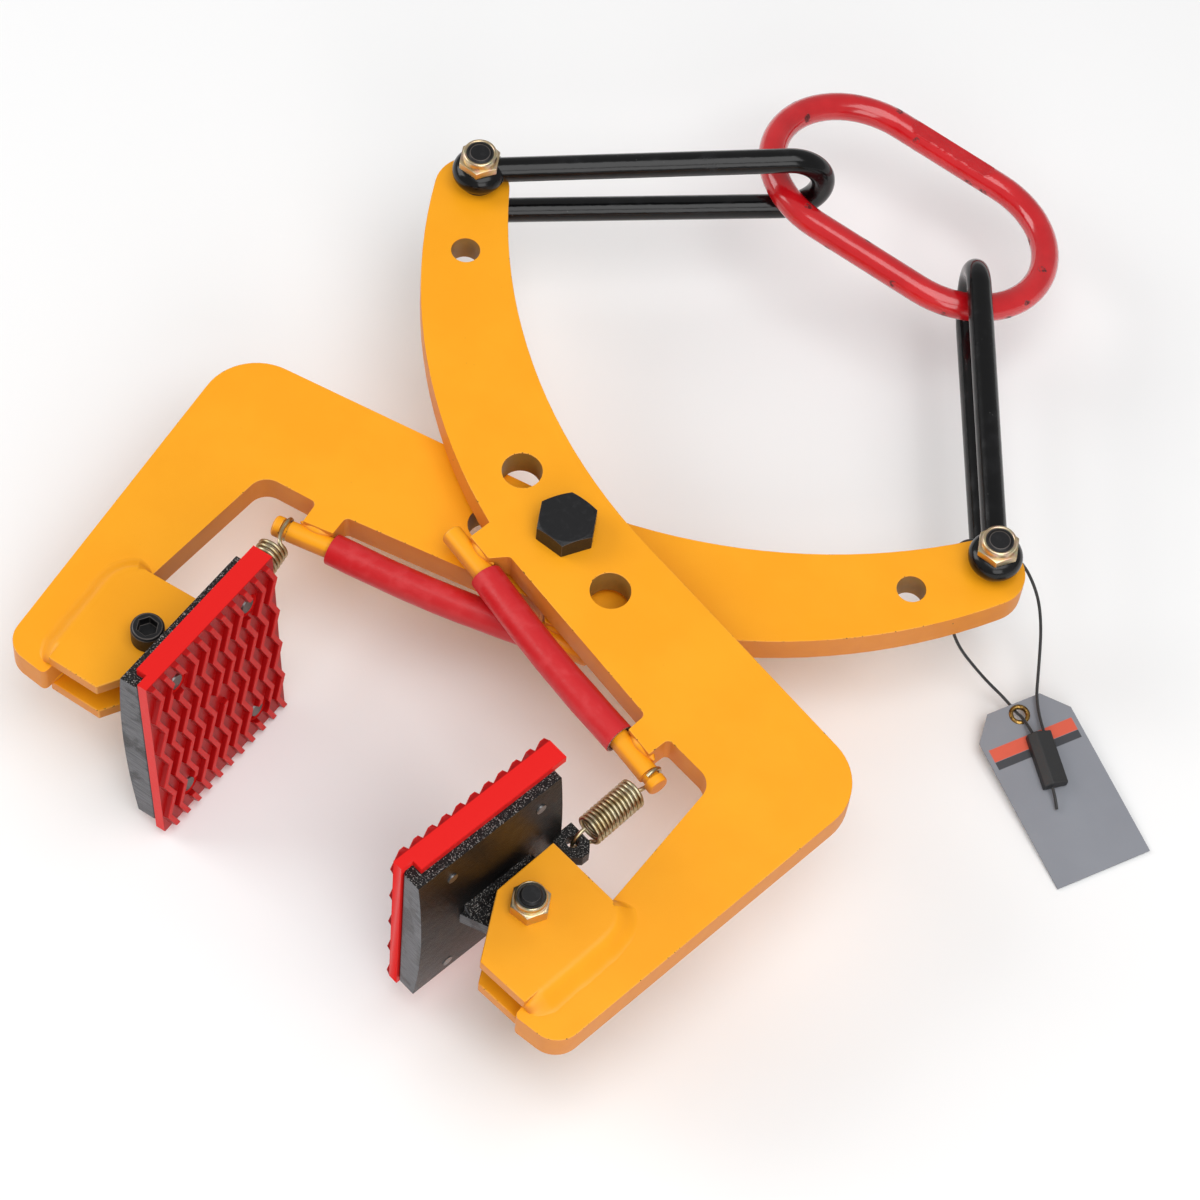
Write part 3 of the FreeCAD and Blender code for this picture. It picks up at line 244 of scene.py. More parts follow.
def padRubber():
    finish = Finish("pad_rubber", {"Specular IOR Level": 0.18})
    cloud = finish.grain(padLook["cloudSize"], 4, 0.6)
    height = finish.drawn("treadHeight")
    rib = finish.ramp(height, 0.75, 0.98)
    # paler pink patches on the rib tops: painted sheen, and worn rubber
    worn = finish.ramp(cloud, 0.42, 0.72) * rib
    # grooves painted darker than the lip and the ribs: painted shade down in the grooves
    skin = finish.mix(finish.ramp(height, -0.2, 0.05), padLook["lip"], padLook["groove"])
    skin = finish.mix(rib, skin, padLook["rib"])
    finish.set({"Base Color": finish.mix(0.35 * worn, skin, padLook["bloomAndSheen"]),
                "Roughness": 0.34 + 0.1 * rib + 0.14 * worn})
    swell = finish.bump(cloud, padLook["cloudDepth"])
    skinGrain = finish.grain(padLook["skinSize"], 3, 0.6)
    finish.set({"Normal": finish.bump(skinGrain, padLook["skinDepth"], swell)})
    return finish.material


hoseLook = {"red": screenColour(198, 26, 32), "pale": screenColour(216, 62, 66),
            "ply": screenColour(60, 34, 30), "thread": screenColour(212, 168, 160),
            "rubSize": 11, "skinSize": 1.3, "skinDepth": 0.05, "waveSize": 9, "waveDepth": 0.25,
            "threadSize": 0.8, "threadDepth": 0.2}


def hoseRubber():
    finish = Finish("hose_rubber", {})
    rub = finish.ramp(finish.grain(hoseLook["rubSize"], 4, 0.6, 0.4), 0.45, 0.75)
    finish.set({"Base Color": finish.mix(0.4 * rub, hoseLook["red"], hoseLook["pale"]),
                "Roughness": 0.34 + 0.22 * rub})
    wave = finish.bump(finish.grain(hoseLook["waveSize"], 2), hoseLook["waveDepth"])
    finish.set({"Normal": finish.bump(finish.grain(hoseLook["skinSize"], 2), hoseLook["skinDepth"], wave)})
    return finish.material


def hoseCut():
    finish = Finish("hose_cut", {"Roughness": 0.75})
    threads = finish.ramp(finish.grain(hoseLook["threadSize"], 3), 0.4, 0.65)
    finish.set({"Base Color": finish.mix(threads, hoseLook["ply"], hoseLook["thread"])})
    finish.set({"Normal": finish.bump(threads, hoseLook["threadDepth"])})
    return finish.material


zincLook = {"gold": screenColour(212, 190, 150), "pink": screenColour(214, 178, 162),
            "green": screenColour(196, 194, 160), "wire": screenColour(192, 182, 152),
            "brown": screenColour(176, 154, 110),
            "tintSize": 5, "goldSize": 3, "glossSize": 2, "skinSize": 0.9, "skinDepth": 0.01,
            "wireTint": 7, "wireGloss": 1.2, "wireSkin": 0.5, "wireDepth": 0.012}


def zincGold():
    finish = Finish("zinc_gold", {"Metallic": 1.0})
    tint = finish.ramp(finish.grain(zincLook["tintSize"], 2), 0.35, 0.65)
    tint = finish.mix(tint, zincLook["pink"], zincLook["green"])
    gold = finish.ramp(finish.grain(zincLook["goldSize"], 2), 0.35, 0.6)
    finish.set({"Base Color": finish.mix(gold, tint, zincLook["gold"]),
                "Roughness": 0.24 + 0.14 * finish.grain(zincLook["glossSize"], 3)})
    finish.set({"Normal": finish.bump(finish.grain(zincLook["skinSize"], 2), zincLook["skinDepth"])})
    return finish.material


def springZinc():
    finish = Finish("spring_zinc", {"Metallic": 1.0})
    tint = finish.ramp(finish.grain(zincLook["wireTint"], 3), 0.35, 0.65)
    finish.set({"Base Color": finish.mix(tint, zincLook["wire"], zincLook["brown"]),
                "Roughness": 0.24 + 0.18 * finish.grain(zincLook["wireGloss"], 3)})
    finish.set({"Normal": finish.bump(finish.grain(zincLook["wireSkin"], 2), zincLook["wireDepth"])})
    return finish.material


steelLook = {"oxide": screenColour(26, 26, 28), "rub": screenColour(38, 38, 40),
             "bright": screenColour(196, 196, 198), "shade": screenColour(128, 128, 130),
             "head": screenColour(112, 104, 100),
             "rubSize": 4, "wornSize": 3, "glossSize": 1.5, "skinSize": 0.8, "skinDepth": 0.03,
             "turnedSize": 0.7, "turnedDepth": 0.05}


def blackOxide():
    finish = Finish("black_oxide", {"Metallic": 0.4})
    rub = finish.ramp(finish.grain(steelLook["rubSize"], 4, 0.6), 0.5, 0.75)
    skin = finish.mix(rub, steelLook["oxide"], steelLook["rub"])
    worn = finish.drawn("edgeRub") * (0.35 + 0.4 * finish.grain(steelLook["wornSize"], 3))
    finish.set({"Base Color": finish.mix(worn, skin, steelLook["head"]),
                "Roughness": 0.36 + 0.18 * finish.grain(steelLook["glossSize"], 3)})
    finish.set({"Normal": finish.bump(finish.grain(steelLook["skinSize"], 3), steelLook["skinDepth"])})
    return finish.material


def screwSteel():
    finish = Finish("screw_steel", {"Metallic": 1.0})
    turned = finish.grain(steelLook["turnedSize"], 3, 0.6)
    # heads that face the mouth painted a darker grey: painted shade of the heads sunk in the pads' holes
    head = finish.ramp(finish.where()[0] * finish.facing()[0], -0.01, -0.04)  # the heads face the mouth
    steel = finish.mix(turned, steelLook["bright"], steelLook["shade"])
    finish.set({"Base Color": finish.mix(0.8 * head, steel, steelLook["head"]),
                "Roughness": 0.2 + 0.25 * turned + 0.2 * head})
    finish.set({"Normal": finish.bump(turned, steelLook["turnedDepth"])})
    return finish.material


enamelLook = {"black": screenColour(8, 8, 9), "dust": screenColour(22, 22, 24),
              "red": screenColour(192, 10, 22), "warm": screenColour(204, 22, 30),
              "chip": screenColour(42, 20, 20), "speck": screenColour(120, 118, 116),
              "dustSize": 12, "speckSize": 2.2, "speckPatch": 9, "runSize": 11, "runDepth": 0.3,
              "skinSize": 1.6, "skinDepth": 0.012, "warmSize": 20, "chipSpacing": 15, "chipEdge": 1.1,
              "chipSize": 2.2, "chipPatch": 40, "chipDepth": -0.15, "flowSize": 14, "flowDepth": 0.35,
              "dentSize": 2.6, "dentDepth": 0.7}


def blackEnamel():
    finish = Finish("black_enamel", {"Coat Weight": 0.1, "Coat Roughness": 0.12, "Specular IOR Level": 0.3})
    dust = finish.ramp(finish.grain(enamelLook["dustSize"], 3, 0.5), 0.5, 0.8)
    specks = finish.ramp(finish.cells(enamelLook["speckSize"]), 0.1, 0.06)
    specks = specks * finish.ramp(finish.grain(enamelLook["speckPatch"], 3), 0.56, 0.64)
    colour = finish.mix(dust, enamelLook["black"], enamelLook["dust"])
    finish.set({"Base Color": finish.mix(specks * 0.7, colour, enamelLook["speck"]),
                "Roughness": 0.17 + 0.12 * dust})
    runs = finish.bump(finish.grain(enamelLook["runSize"], 2, 0.4), enamelLook["runDepth"])
    skin = finish.grain(enamelLook["skinSize"], 2)
    finish.set({"Normal": finish.bump(skin, enamelLook["skinDepth"], runs)})
    return finish.material


def redEnamel():
    finish = Finish("red_enamel", {"Coat Roughness": 0.06})
    warm = finish.ramp(finish.grain(enamelLook["warmSize"], 3), 0.35, 0.7)
    colour = finish.mix(warm, enamelLook["red"], enamelLook["warm"])
    ragged = finish.cells(enamelLook["chipSpacing"]) + 0.22 * finish.grain(enamelLook["chipEdge"], 3, 0.7)
    spots = finish.ramp(ragged, 0.3, 0.27)
    spots = spots * finish.ramp(finish.grain(enamelLook["chipSize"], 3, 0.7), 0.44, 0.5)
    spots = spots * finish.ramp(finish.grain(enamelLook["chipPatch"], 2), 0.42, 0.46)
    pressed = finish.drawn("pressed")
    finish.set({"Base Color": finish.mix(spots * 0.85, colour, enamelLook["chip"]),
                "Roughness": 0.2 + 0.4 * spots + 0.16 * pressed,
                "Coat Weight": 0.6 - 0.6 * spots - 0.45 * pressed})
    flow = finish.bump(finish.grain(enamelLook["flowSize"], 3, 0.5), enamelLook["flowDepth"])
    dents = finish.grain(enamelLook["dentSize"], 4, 0.6, 0.6) * pressed
    dents = finish.bump(dents, enamelLook["dentDepth"], flow)
    finish.set({"Normal": finish.bump(spots, enamelLook["chipDepth"], dents)})
    return finish.material


tagSet = {"origin": (233.5, 115.5, -66.37), "yaw": -25.7, "pitch": 5,
          "band": (12.7, 20.4), "strip": (20.6, 25.3), "half": 26,
          "grey": screenColour(144, 147, 154), "shade": screenColour(134, 136, 143),
          "orange": screenColour(236, 78, 4), "black": screenColour(9, 9, 10),
          "cloudSize": 30, "glossSize": 3, "skinSize": 0.8, "skinDepth": 0.02}


def tagSheet():
    finish = Finish("tag_sheet", {"Specular IOR Level": 0.06})
    cloud = finish.grain(tagSet["cloudSize"], 3)
    turn = (0, math.radians(tagSet["pitch"]), math.radians(tagSet["yaw"]))
    along, across, up = finish.onPlate(atPivot(*tagSet["origin"]), turn)
    inside = finish.ramp(up, 0.2, 0.5) * finish.between(across, -tagSet["half"], tagSet["half"], 0.25)
    band = inside * finish.between(along, *tagSet["band"], 0.2)
    strip = inside * finish.between(along, *tagSet["strip"], 0.2)
    sheet = finish.mix(cloud, tagSet["grey"], tagSet["shade"])
    sheet = finish.mix(band, sheet, tagSet["orange"])
    finish.set({"Base Color": finish.mix(strip, sheet, tagSet["black"]),
                "Roughness": 0.5 + 0.15 * finish.grain(tagSet["glossSize"], 3) - 0.15 * (band + strip)})
    finish.set({"Normal": finish.bump(finish.grain(tagSet["skinSize"], 3), tagSet["skinDepth"])})
    return finish.material


eyeletLook = {"brass": screenColour(168, 132, 72), "tarnish": screenColour(96, 72, 40), "tarnishSize": 2}


def eyeletBrass():
    finish = Finish("eyelet_brass", {"Metallic": 1.0})
    tarnish = finish.ramp(finish.grain(eyeletLook["tarnishSize"], 3), 0.4, 0.7)
    finish.set({"Base Color": finish.mix(tarnish, eyeletLook["brass"], eyeletLook["tarnish"]),
                "Roughness": 0.25 + 0.2 * tarnish})
    return finish.material


cordLook = {"dark": screenColour(10, 10, 11), "light": screenColour(40, 40, 42),
            "weaveSize": 0.5, "weaveDepth": 0.12}


def cordWeave():
    finish = Finish("cord_weave", {"Sheen Weight": 0.3})
    weave = finish.grain(cordLook["weaveSize"], 2, 0.6)
    finish.set({"Base Color": finish.mix(weave, cordLook["dark"], cordLook["light"]),
                "Roughness": 0.38 + 0.15 * weave})
    finish.set({"Normal": finish.bump(weave, cordLook["weaveDepth"])})
    return finish.material


lockLook = {"dark": screenColour(30, 30, 31), "light": screenColour(46, 46, 47),
            "grainSize": 0.7, "grainDepth": 0.05}


def lockPlastic():
    finish = Finish("lock_plastic", {})
    grain = finish.grain(lockLook["grainSize"], 3, 0.6)
    finish.set({"Base Color": finish.mix(grain, lockLook["dark"], lockLook["light"]),
                "Roughness": 0.45 + 0.15 * grain})
    finish.set({"Normal": finish.bump(grain, lockLook["grainDepth"])})
    return finish.material


finishes = {name: make() for name, make in {
    "arm_paint": armPaint, "black_casting": castBlack, "red_pad": padRubber, "red_hose": hoseRubber,
    "hose_cut": hoseCut, "yellow_zinc": zincGold, "spring_zinc": springZinc, "black_steel": blackOxide,
    "bright_steel": screwSteel, "black_enamel": blackEnamel, "red_enamel": redEnamel, "tag_sheet": tagSheet,
    "eyelet_brass": eyeletBrass, "cord_weave": cordWeave, "lock_plastic": lockPlastic}.items()}
slotOf = {part["node"]: part["material_slot"] for part in frame["record"]["subparts"]}
bodyOf = {node: body for body, members in frame["record"]["behaviour"]["bodies"].items() for node in members}
for name, node in nodes.items():
    node.data.materials.clear()
    node.data.materials.append(finishes[slotOf[name]])
print("finishes made:", len(finishes))


# Angles in degrees past which an edge of a piece shades sharp
smoothSet = {"plain": 40, "fillet": 50, "bead": 60, "coil": 60, "turned": 50, "ring": 26}


def newPiece(name, bm, body, slot, smoothAngle=smoothSet["plain"]):
    bmesh.ops.recalc_face_normals(bm, faces=bm.faces)
    mesh = bpy.data.meshes.new(name)
    bm.to_mesh(mesh)
    bm.free()
    return dressMesh(name, mesh, body, slot, smoothAngle)


def dressMesh(name, mesh, body, slot, smoothAngle):
    mesh.polygons.foreach_set("use_smooth", [True] * len(mesh.polygons))
    mesh.set_sharp_from_angle(angle=math.radians(smoothAngle))
    if not mesh.materials:
        mesh.materials.append(finishes[slot])
    piece = bpy.data.objects.new(name, mesh)
    bpy.context.scene.collection.objects.link(piece)
    if body:
        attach(piece, body)
    return piece


def asMesh(curve, name):  # a curve object's tube as a mesh, the curve removed
    bpy.context.view_layer.update()
    graph = bpy.context.evaluated_depsgraph_get()
    mesh = bpy.data.meshes.new_from_object(curve.evaluated_get(graph), depsgraph=graph)
    mesh.name = name
    bpy.data.objects.remove(curve)
    return mesh


def newCurve(name, points, diameter, sides=4, steps=12):
    data = bpy.data.curves.new(name, "CURVE")
    data.dimensions = "3D"
    data.bevel_depth = diameter / 2
    data.bevel_resolution = sides
    data.use_fill_caps = True
    data.resolution_u = steps
    spline = data.splines.new("NURBS")
    spline.points.add(len(points) - 1)
    for spot, place in zip(spline.points, points):
        spot.co = (*place, 1)
    spline.order_u = 3
    spline.use_endpoint_u = True
    curve = bpy.data.objects.new(name, data)
    bpy.context.scene.collection.objects.link(curve)
    return curve


def onSide(side, x, y, z):  # the rear half is the front half turned over about y
    return atPivot(x, y, z) if side == "front" else atPivot(-x, y, -z)


def turnedBy(yaw, pitch, roll):  # a turn by degrees about x, then y, then z
    turn = Matrix.Rotation(math.radians(yaw), 3, "Z") @ Matrix.Rotation(math.radians(pitch), 3, "Y")
    return turn @ Matrix.Rotation(math.radians(roll), 3, "X")


# Rigid nodes with sharp edges eased: widths in mm at most, and wider ones for edges past a length in metres
easeSet = {"angle": 32, "flat": 0.5, "merge": 0.00001, "wideSegments": 3,
           "arm": {"width": 0.7, "segments": 2}, "cheek": {"width": 0.7, "segments": 2},
           "bar": {"width": 0.5, "segments": 2}, "fastener": {"width": 0.35, "segments": 2},
           "casting": {"width": 0.9, "segments": 2, "long": 0.115, "wide": 2.2},
           "pad": {"width": 0.45, "segments": 2, "long": 0.125, "wide": 2.4},
           "lock": {"width": 0.7, "segments": 3}}
easedNodes = {"arm": ["front_arm", "rear_arm"],
              "cheek": ["front_outer_cheek", "front_inner_cheek", "rear_outer_cheek", "rear_inner_cheek"],
              "bar": ["front_handle_bar", "rear_handle_bar"],
              "casting": ["right_jaw_casting", "left_jaw_casting"], "pad": ["right_jaw_pad", "left_jaw_pad"],
              "fastener": ["right_jaw_pin", "left_jaw_pin", "right_jaw_pin_nut", "left_jaw_pin_nut",
                           "pivot_bolt", "pivot_nut", "pivot_washer", "left_link_bolt", "right_link_bolt",
                           "left_link_nut", "right_link_nut", "left_link_washers", "right_link_washers"],
              "lock": ["cord_lock"]}


def sharpEdges(bm, longerThan=0.0):
    return [edge for edge in bm.edges if len(edge.link_faces) == 2 and edge.calc_length() > longerThan
            and edge.calc_face_angle() > math.radians(easeSet["angle"])]


def easeEdges(bm, edges, width, segments):  # the new faces, all as narrow as the tightest place needs
    return bmesh.ops.bevel(bm, geom=edges, offset=width * mm, offset_type="OFFSET", segments=segments,
                           profile=0.5, affect="EDGES", clamp_overlap=True, material=-1)["faces"]


def easedCopy(name, width, segments, long=None, wide=None):
    bm = bmesh.new()
    bm.from_mesh(nodes[name].data)
    bmesh.ops.remove_doubles(bm, verts=bm.verts, dist=easeSet["merge"])
    bmesh.ops.dissolve_limit(bm, angle_limit=math.radians(easeSet["flat"]), verts=bm.verts, edges=bm.edges)
    rims = []
    if long:
        rims += easeEdges(bm, sharpEdges(bm, long), wide, easeSet["wideSegments"])
    rims += easeEdges(bm, sharpEdges(bm), width, segments)
    rub = bm.loops.layers.float.new("edgeRub")
    for face in rims:
        if face.is_valid:
            for corner in face.loops:
                corner[rub] = 1.0
    slot = "black_steel" if name.endswith("link_washers") else slotOf[name]
    piece = newPiece(name + "_eased", bm, bodyOf[name], slot, easeSet["angle"])
    piece.modifiers.new("evenNormals", "WEIGHTED_NORMAL").keep_sharp = True  # flat faces shade flat
    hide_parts(name)
    return piece


eased = {name: easedCopy(name, **easeSet[kind]) for kind, names in easedNodes.items() for name in names}
print("edges eased:", len(eased))

# Link nuts and bolt ends lowered onto the eyes, and washers that hide under the eyes
squatSet = {"nut": 0.52, "bolt": 0.56, "washer": 0.74}
for name in ("left", "right"):
    low, high = [Vector(corner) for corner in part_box(name + "_link_nut")]
    middle = (low + high) / 2
    for kind in ("nut", "bolt"):
        for vertex in eased["%s_link_%s" % (name, kind)].data.vertices:
            if vertex.co.z > low.z:
                vertex.co.z = low.z + (vertex.co.z - low.z) * squatSet[kind]
    for vertex in eased[name + "_link_washers"].data.vertices:
        vertex.co.xy = middle.xy + (vertex.co.xy - middle.xy) * squatSet["washer"]
print("link nuts lowered")

# Walls of the spare holes, where the arm paint puts painted shade, as places and radii in mm on the front arm
holeSet = {"spots": [(-41.39, 13.69, 11), (41.39, -13.69, 11), (-156.6, 104.8, 8)],
           "margin": 0.2, "steep": 0.3}
for side in ("front", "rear"):
    mesh = eased[side + "_arm"].data
    wall = mesh.attributes.new("holeWall", "FLOAT", "FACE")
    for x, y, radius in holeSet["spots"]:
        centre = onSide(side, x, y, 0)
        reach = (radius + holeSet["margin"]) * mm
        for spot, face in zip(wall.data, mesh.polygons):
            if abs(face.normal.z) < holeSet["steep"] and (face.center - centre).xy.length < reach:
                spot.value = 1.0
print("hole walls marked")

# Height of each pad's tread above its sheet, from 0 in the grooves to 1 on the ribs
jawSet = {"pin": (128.5, -188, 11), "sheet": 46, "grip": 49,
          "right": {"side": "front", "turn": -8.7, "rock": 0, "dip": 0},
          "left": {"side": "rear", "turn": -3.7, "rock": -5.1, "dip": 2.9}}


def jawTurn(jaw):
    return turnedBy(jaw["turn"], jaw["rock"], jaw["dip"])


for name in ("right", "left"):
    jaw = jawSet[name]
    pin = onSide(jaw["side"], *jawSet["pin"])
    outward = jawTurn(jaw) @ Vector((-1, 0, 0))
    if jaw["side"] == "rear":
        outward = Vector((-outward.x, outward.y, -outward.z))
    mesh = eased[name + "_jaw_pad"].data
    height = mesh.attributes.new("treadHeight", "FLOAT", "POINT")
    for spot, vertex in zip(height.data, mesh.vertices):
        reach = (vertex.co - pin).dot(outward) / mm
        spot.value = (reach - jawSet["sheet"]) / (jawSet["grip"] - jawSet["sheet"])
print("treads measured")

# Handle bars slimmed, and the hoses on them bowed a little, with cut ends
barSet = {"end": (131.39, -84.97, 11), "slope": math.radians(-14.85), "length": 186, "slim": 0.85}
barAhead = Vector((math.cos(barSet["slope"]), math.sin(barSet["slope"]), 0))
barAside = Vector((-barAhead.y, barAhead.x, 0))
barStart = Vector(barSet["end"]) - barAhead * barSet["length"]
hoseSet = {"start": 32.3, "length": 119.2, "radius": 8.9, "bore": 7.2, "ease": 0.3, "depth": 14, "rings": 24,
           "sides": 40, "tilt": 0.9, "bow": {"front": (-1.8, 0), "rear": (-2.2, 0.3)}, "swell": 0.3,
           "swellRate": 0.05, "seed": {"front": 5, "rear": 4}, "cutRows": 3}


def onBar(side, along, aside=0.0, up=0.0):  # millimetres along the bar, beside it and above it
    return onSide(side, *(barStart + barAhead * along + barAside * aside + Vector((0, 0, up))))


for side in ("front", "rear"):
    start = onBar(side, 0)
    ahead = (onBar(side, 1) - start).normalized()
    for vertex in eased[side + "_handle_bar"].data.vertices:
        axis = start + ahead * (vertex.co - start).dot(ahead)
        vertex.co = axis + (vertex.co - axis) * barSet["slim"]
print("handle bars slimmed")


def sweepRows(rows):  # a skin through closed rows of points, drawn by extruding the first row
    bm = bmesh.new()
    row = [bm.verts.new(spot) for spot in rows[0]]
    rim = [bm.edges.new((row[i - 1], row[i])) for i in range(len(row))]
    for spots in rows[1:]:
        grown = bmesh.ops.extrude_edge_only(bm, edges=rim)["geom"]
        fresh = [item for item in grown if isinstance(item, bmesh.types.BMVert)]
        rim = [item for item in grown if isinstance(item, bmesh.types.BMEdge)]
        row = [min(fresh, key=lambda vert: (vert.co - old.co).length_squared) for old in row]
        for vert, spot in zip(row, spots):
            vert.co = spot
    return bm


def barRing(side, along, radius, aside, up, tilt):  # points round the bar, the ring tilted a little
    ring = []
    for i in range(hoseSet["sides"]):
        turn = 2 * math.pi * i / hoseSet["sides"]
        ahead = along + tilt * math.cos(turn)
        ring.append(onBar(side, ahead, aside + radius * math.cos(turn), up + radius * math.sin(turn)))
    return ring


def hoseOn(side):
    length, outer, bore = hoseSet["length"], hoseSet["radius"], hoseSet["bore"]
    ease = hoseSet["ease"]
    stops = [(hoseSet["depth"], bore), (ease, bore), (0, bore + ease), (0, outer - ease), (ease, outer)]
    stops += [(length * i / hoseSet["rings"], outer) for i in range(1, hoseSet["rings"])]
    stops += [(length - along, radius) for along, radius in reversed(stops[:5])]
    bowAside, bowUp = hoseSet["bow"][side]
    rows = []
    for along, radius in stops:
        share = math.sin(math.pi * along / length)
        spot = Vector((along * hoseSet["swellRate"], hoseSet["seed"][side], 0))
        dent = hoseSet["swell"] * noise.noise(spot) * share
        tilt = hoseSet["tilt"] * (1 - 2 * along / length)
        ahead = hoseSet["start"] + along
        rows.append(barRing(side, ahead, radius + dent, bowAside * share, bowUp * share, tilt))
    piece = newPiece(side + "_hose", sweepRows(rows), bodyOf[side + "_grip_hose"], "red_hose")
    piece.data.materials.append(finishes["hose_cut"])
    cut = hoseSet["cutRows"]  # rows of faces inside and across each end
    for face in piece.data.polygons:
        step = face.index // hoseSet["sides"]
        face.material_index = 1 if step < cut or step >= len(rows) - 1 - cut else 0
    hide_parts(side + "_grip_hose")
    return piece


for side in ("front", "rear"):
    hoseOn(side)
print("hoses slid on")

# Tension springs from the ear of each casting to the groove of the bar
springSet = {"ear": (-17.3, 45.6, 0), "wire": 2.35, "radius": 7.5, "turns": 13, "lead": math.radians(24),
             "earHook": 7.3, "earLength": 12, "barHook": 6.3, "barLength": 12.4, "barLead": 5, "fromEnd": 7,
             "perTurn": 20, "earArc": (80, 271, 15), "barArc": (270, 486, 15), "sides": 3, "steps": 3}


def springPoints(name):  # points about the pivot, before the rear half is turned over
    hole = Vector(jawSet["pin"]) + jawTurn(jawSet[name]) @ Vector(springSet["ear"])
    bar = Vector(barSet["end"]) - barAhead * springSet["fromEnd"]
    axis = (bar - hole).normalized()
    rise = (Vector((0, 0, 1)) - axis * axis.z).normalized()
    side = axis.cross(rise)

    def onHook(centre, radius, degrees):
        angle = math.radians(degrees)
        return centre + (axis * math.cos(angle) + rise * math.sin(angle)) * radius

    first = springSet["lead"]
    last = 2 * math.pi * springSet["turns"] - first
    span = (bar - hole).length
    climb = (span - springSet["barLength"] - springSet["earLength"]) / (last - first)
    earCentre = hole + axis * springSet["earHook"]
    points = [onHook(earCentre, springSet["earHook"], degrees) for degrees in range(*springSet["earArc"])]
    steps = int(springSet["turns"] * springSet["perTurn"])
    for i in range(steps + 1):
        angle = first + (last - first) * i / steps
        outward = side * math.sin(angle) - rise * math.cos(angle)
        along = springSet["earLength"] + climb * (angle - first)
        points.append(hole + axis * along + outward * springSet["radius"])
    points.append(hole + axis * (span - springSet["barLead"]) - rise * springSet["barHook"])
    points += [onHook(bar, springSet["barHook"], degrees) for degrees in range(*springSet["barArc"])]
    return points, bar, hole


for name in ("right", "left"):
    side = jawSet[name]["side"]
    points, bar, hole = springPoints(name)
    points = [onSide(side, *spot) for spot in points]
    coil = newCurve(name + "_coil", points, springSet["wire"] * mm, springSet["sides"], springSet["steps"])
    mesh = asMesh(coil, name + "_coil")
    mesh.materials.append(finishes["spring_zinc"])
    piece = dressMesh(name + "_coil", mesh, None, "yellow_zinc", smoothSet["coil"])
    onSide(side, *bar)
    onSide(side, *hole)
    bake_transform(piece)
    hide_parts(name + "_spring")
print("springs hooked in")

# Weld fillets where the cheeks sit on the legs, and beads on the bars and inside the forks
weldSet = {"cheek": {"route": [(155.5, -156.6), (159.5, -159), (164.2, -162.9), (167.2, -170.5),
                               (166.2, -182), (163.4, -204), (160.4, -227.5), (160.2, -230.6)],
                     "foot": 11.5, "sink": 0.9, "crown": 1.005, "lump": 0.08, "taper": 12, "spread": 1.6},
           "profile": [(-0.09, 1), (0.06, 0.985), (0.16, 0.92), (0.28, 0.79), (0.42, 0.6), (0.56, 0.4),
                       (0.7, 0.22), (0.82, 0.09), (0.92, 0.025), (1, 0)],
           "leg": {"route": [(156.3, -162), (157.2, -195), (158.4, -229)], "levels": (18.4, 3.6),
                   "radius": 2.6, "swell": [0.35, 1, 0.35]},
           "tab": {"spans": [(11.4, 30.5), (152.8, 173.4)], "aside": 6, "rise": 3.5, "radius": 5,
                   "swell": [0.1, 0.6, 0.9, 1, 0.9, 0.6, 0.1]},
           "lump": 0.25, "lumpRadius": 3, "ripple": 6, "sides": 3}


def pointsAlong(route):  # points on the smooth curve through a route
    return [vertex.co.copy() for vertex in asMesh(newCurve("route", route, 0), "route").vertices]


def weldFillet(name, body, cheek, side, way):
    trait = weldSet["cheek"]
    low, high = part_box(side + "_arm")
    plate = high[2] if way > 0 else low[2]
    low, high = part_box(cheek)
    rise = ((high[2] if way > 0 else low[2]) - plate) * trait["crown"]
    points = pointsAlong([onSide(side, x, y, 0) for x, y in trait["route"]])
    rows = []
    for i, point in enumerate(points):
        ahead = points[min(i + 1, len(points) - 1)] - points[max(i - 1, 0)]
        out = Vector((-ahead.y, ahead.x, 0)).normalized() * (1 if side == "front" else -1)
        lump = 1 + trait["lump"] * noise.noise(point / mm / weldSet["ripple"] / trait["spread"])
        share = min(1, (1 + min(i, len(points) - 1 - i)) / trait["taper"]) ** 0.5  # runs out at both ends
        foot = trait["foot"] * mm * lump * share
        row = [point + out * (foot * along) + Vector((0, 0, rise * share * up))
               for along, up in weldSet["profile"]]
        row += [row[-1] + Vector((0, 0, -way * trait["sink"] * mm)), row[0] - out * trait["sink"] * mm]
        rows.append([Vector((spot.x, spot.y, spot.z - point.z + plate)) for spot in row])
    bm = sweepRows(rows)
    bmesh.ops.holes_fill(bm, edges=[edge for edge in bm.edges if edge.is_boundary], sides=0)
    return newPiece(name, bm, body, "arm_paint", smoothSet["fillet"])


def weldBead(name, body, route, trait, seed):
    radius = trait["radius"]
    curve = newCurve(name, route, 2 * radius * mm, weldSet["sides"])
    for spot, share in zip(curve.data.splines[0].points, trait["swell"]):
        spot.radius = share
    mesh = asMesh(curve, name)
    mesh.update()
    for vertex in mesh.vertices:
        spot = vertex.co / mm / weldSet["ripple"] + Vector((seed, 0, 0))
        lump = noise.noise(spot) * weldSet["lump"] * radius / weldSet["lumpRadius"] * mm
        vertex.co += vertex.normal * lump
    return dressMesh(name, mesh, body, "arm_paint", smoothSet["bead"])


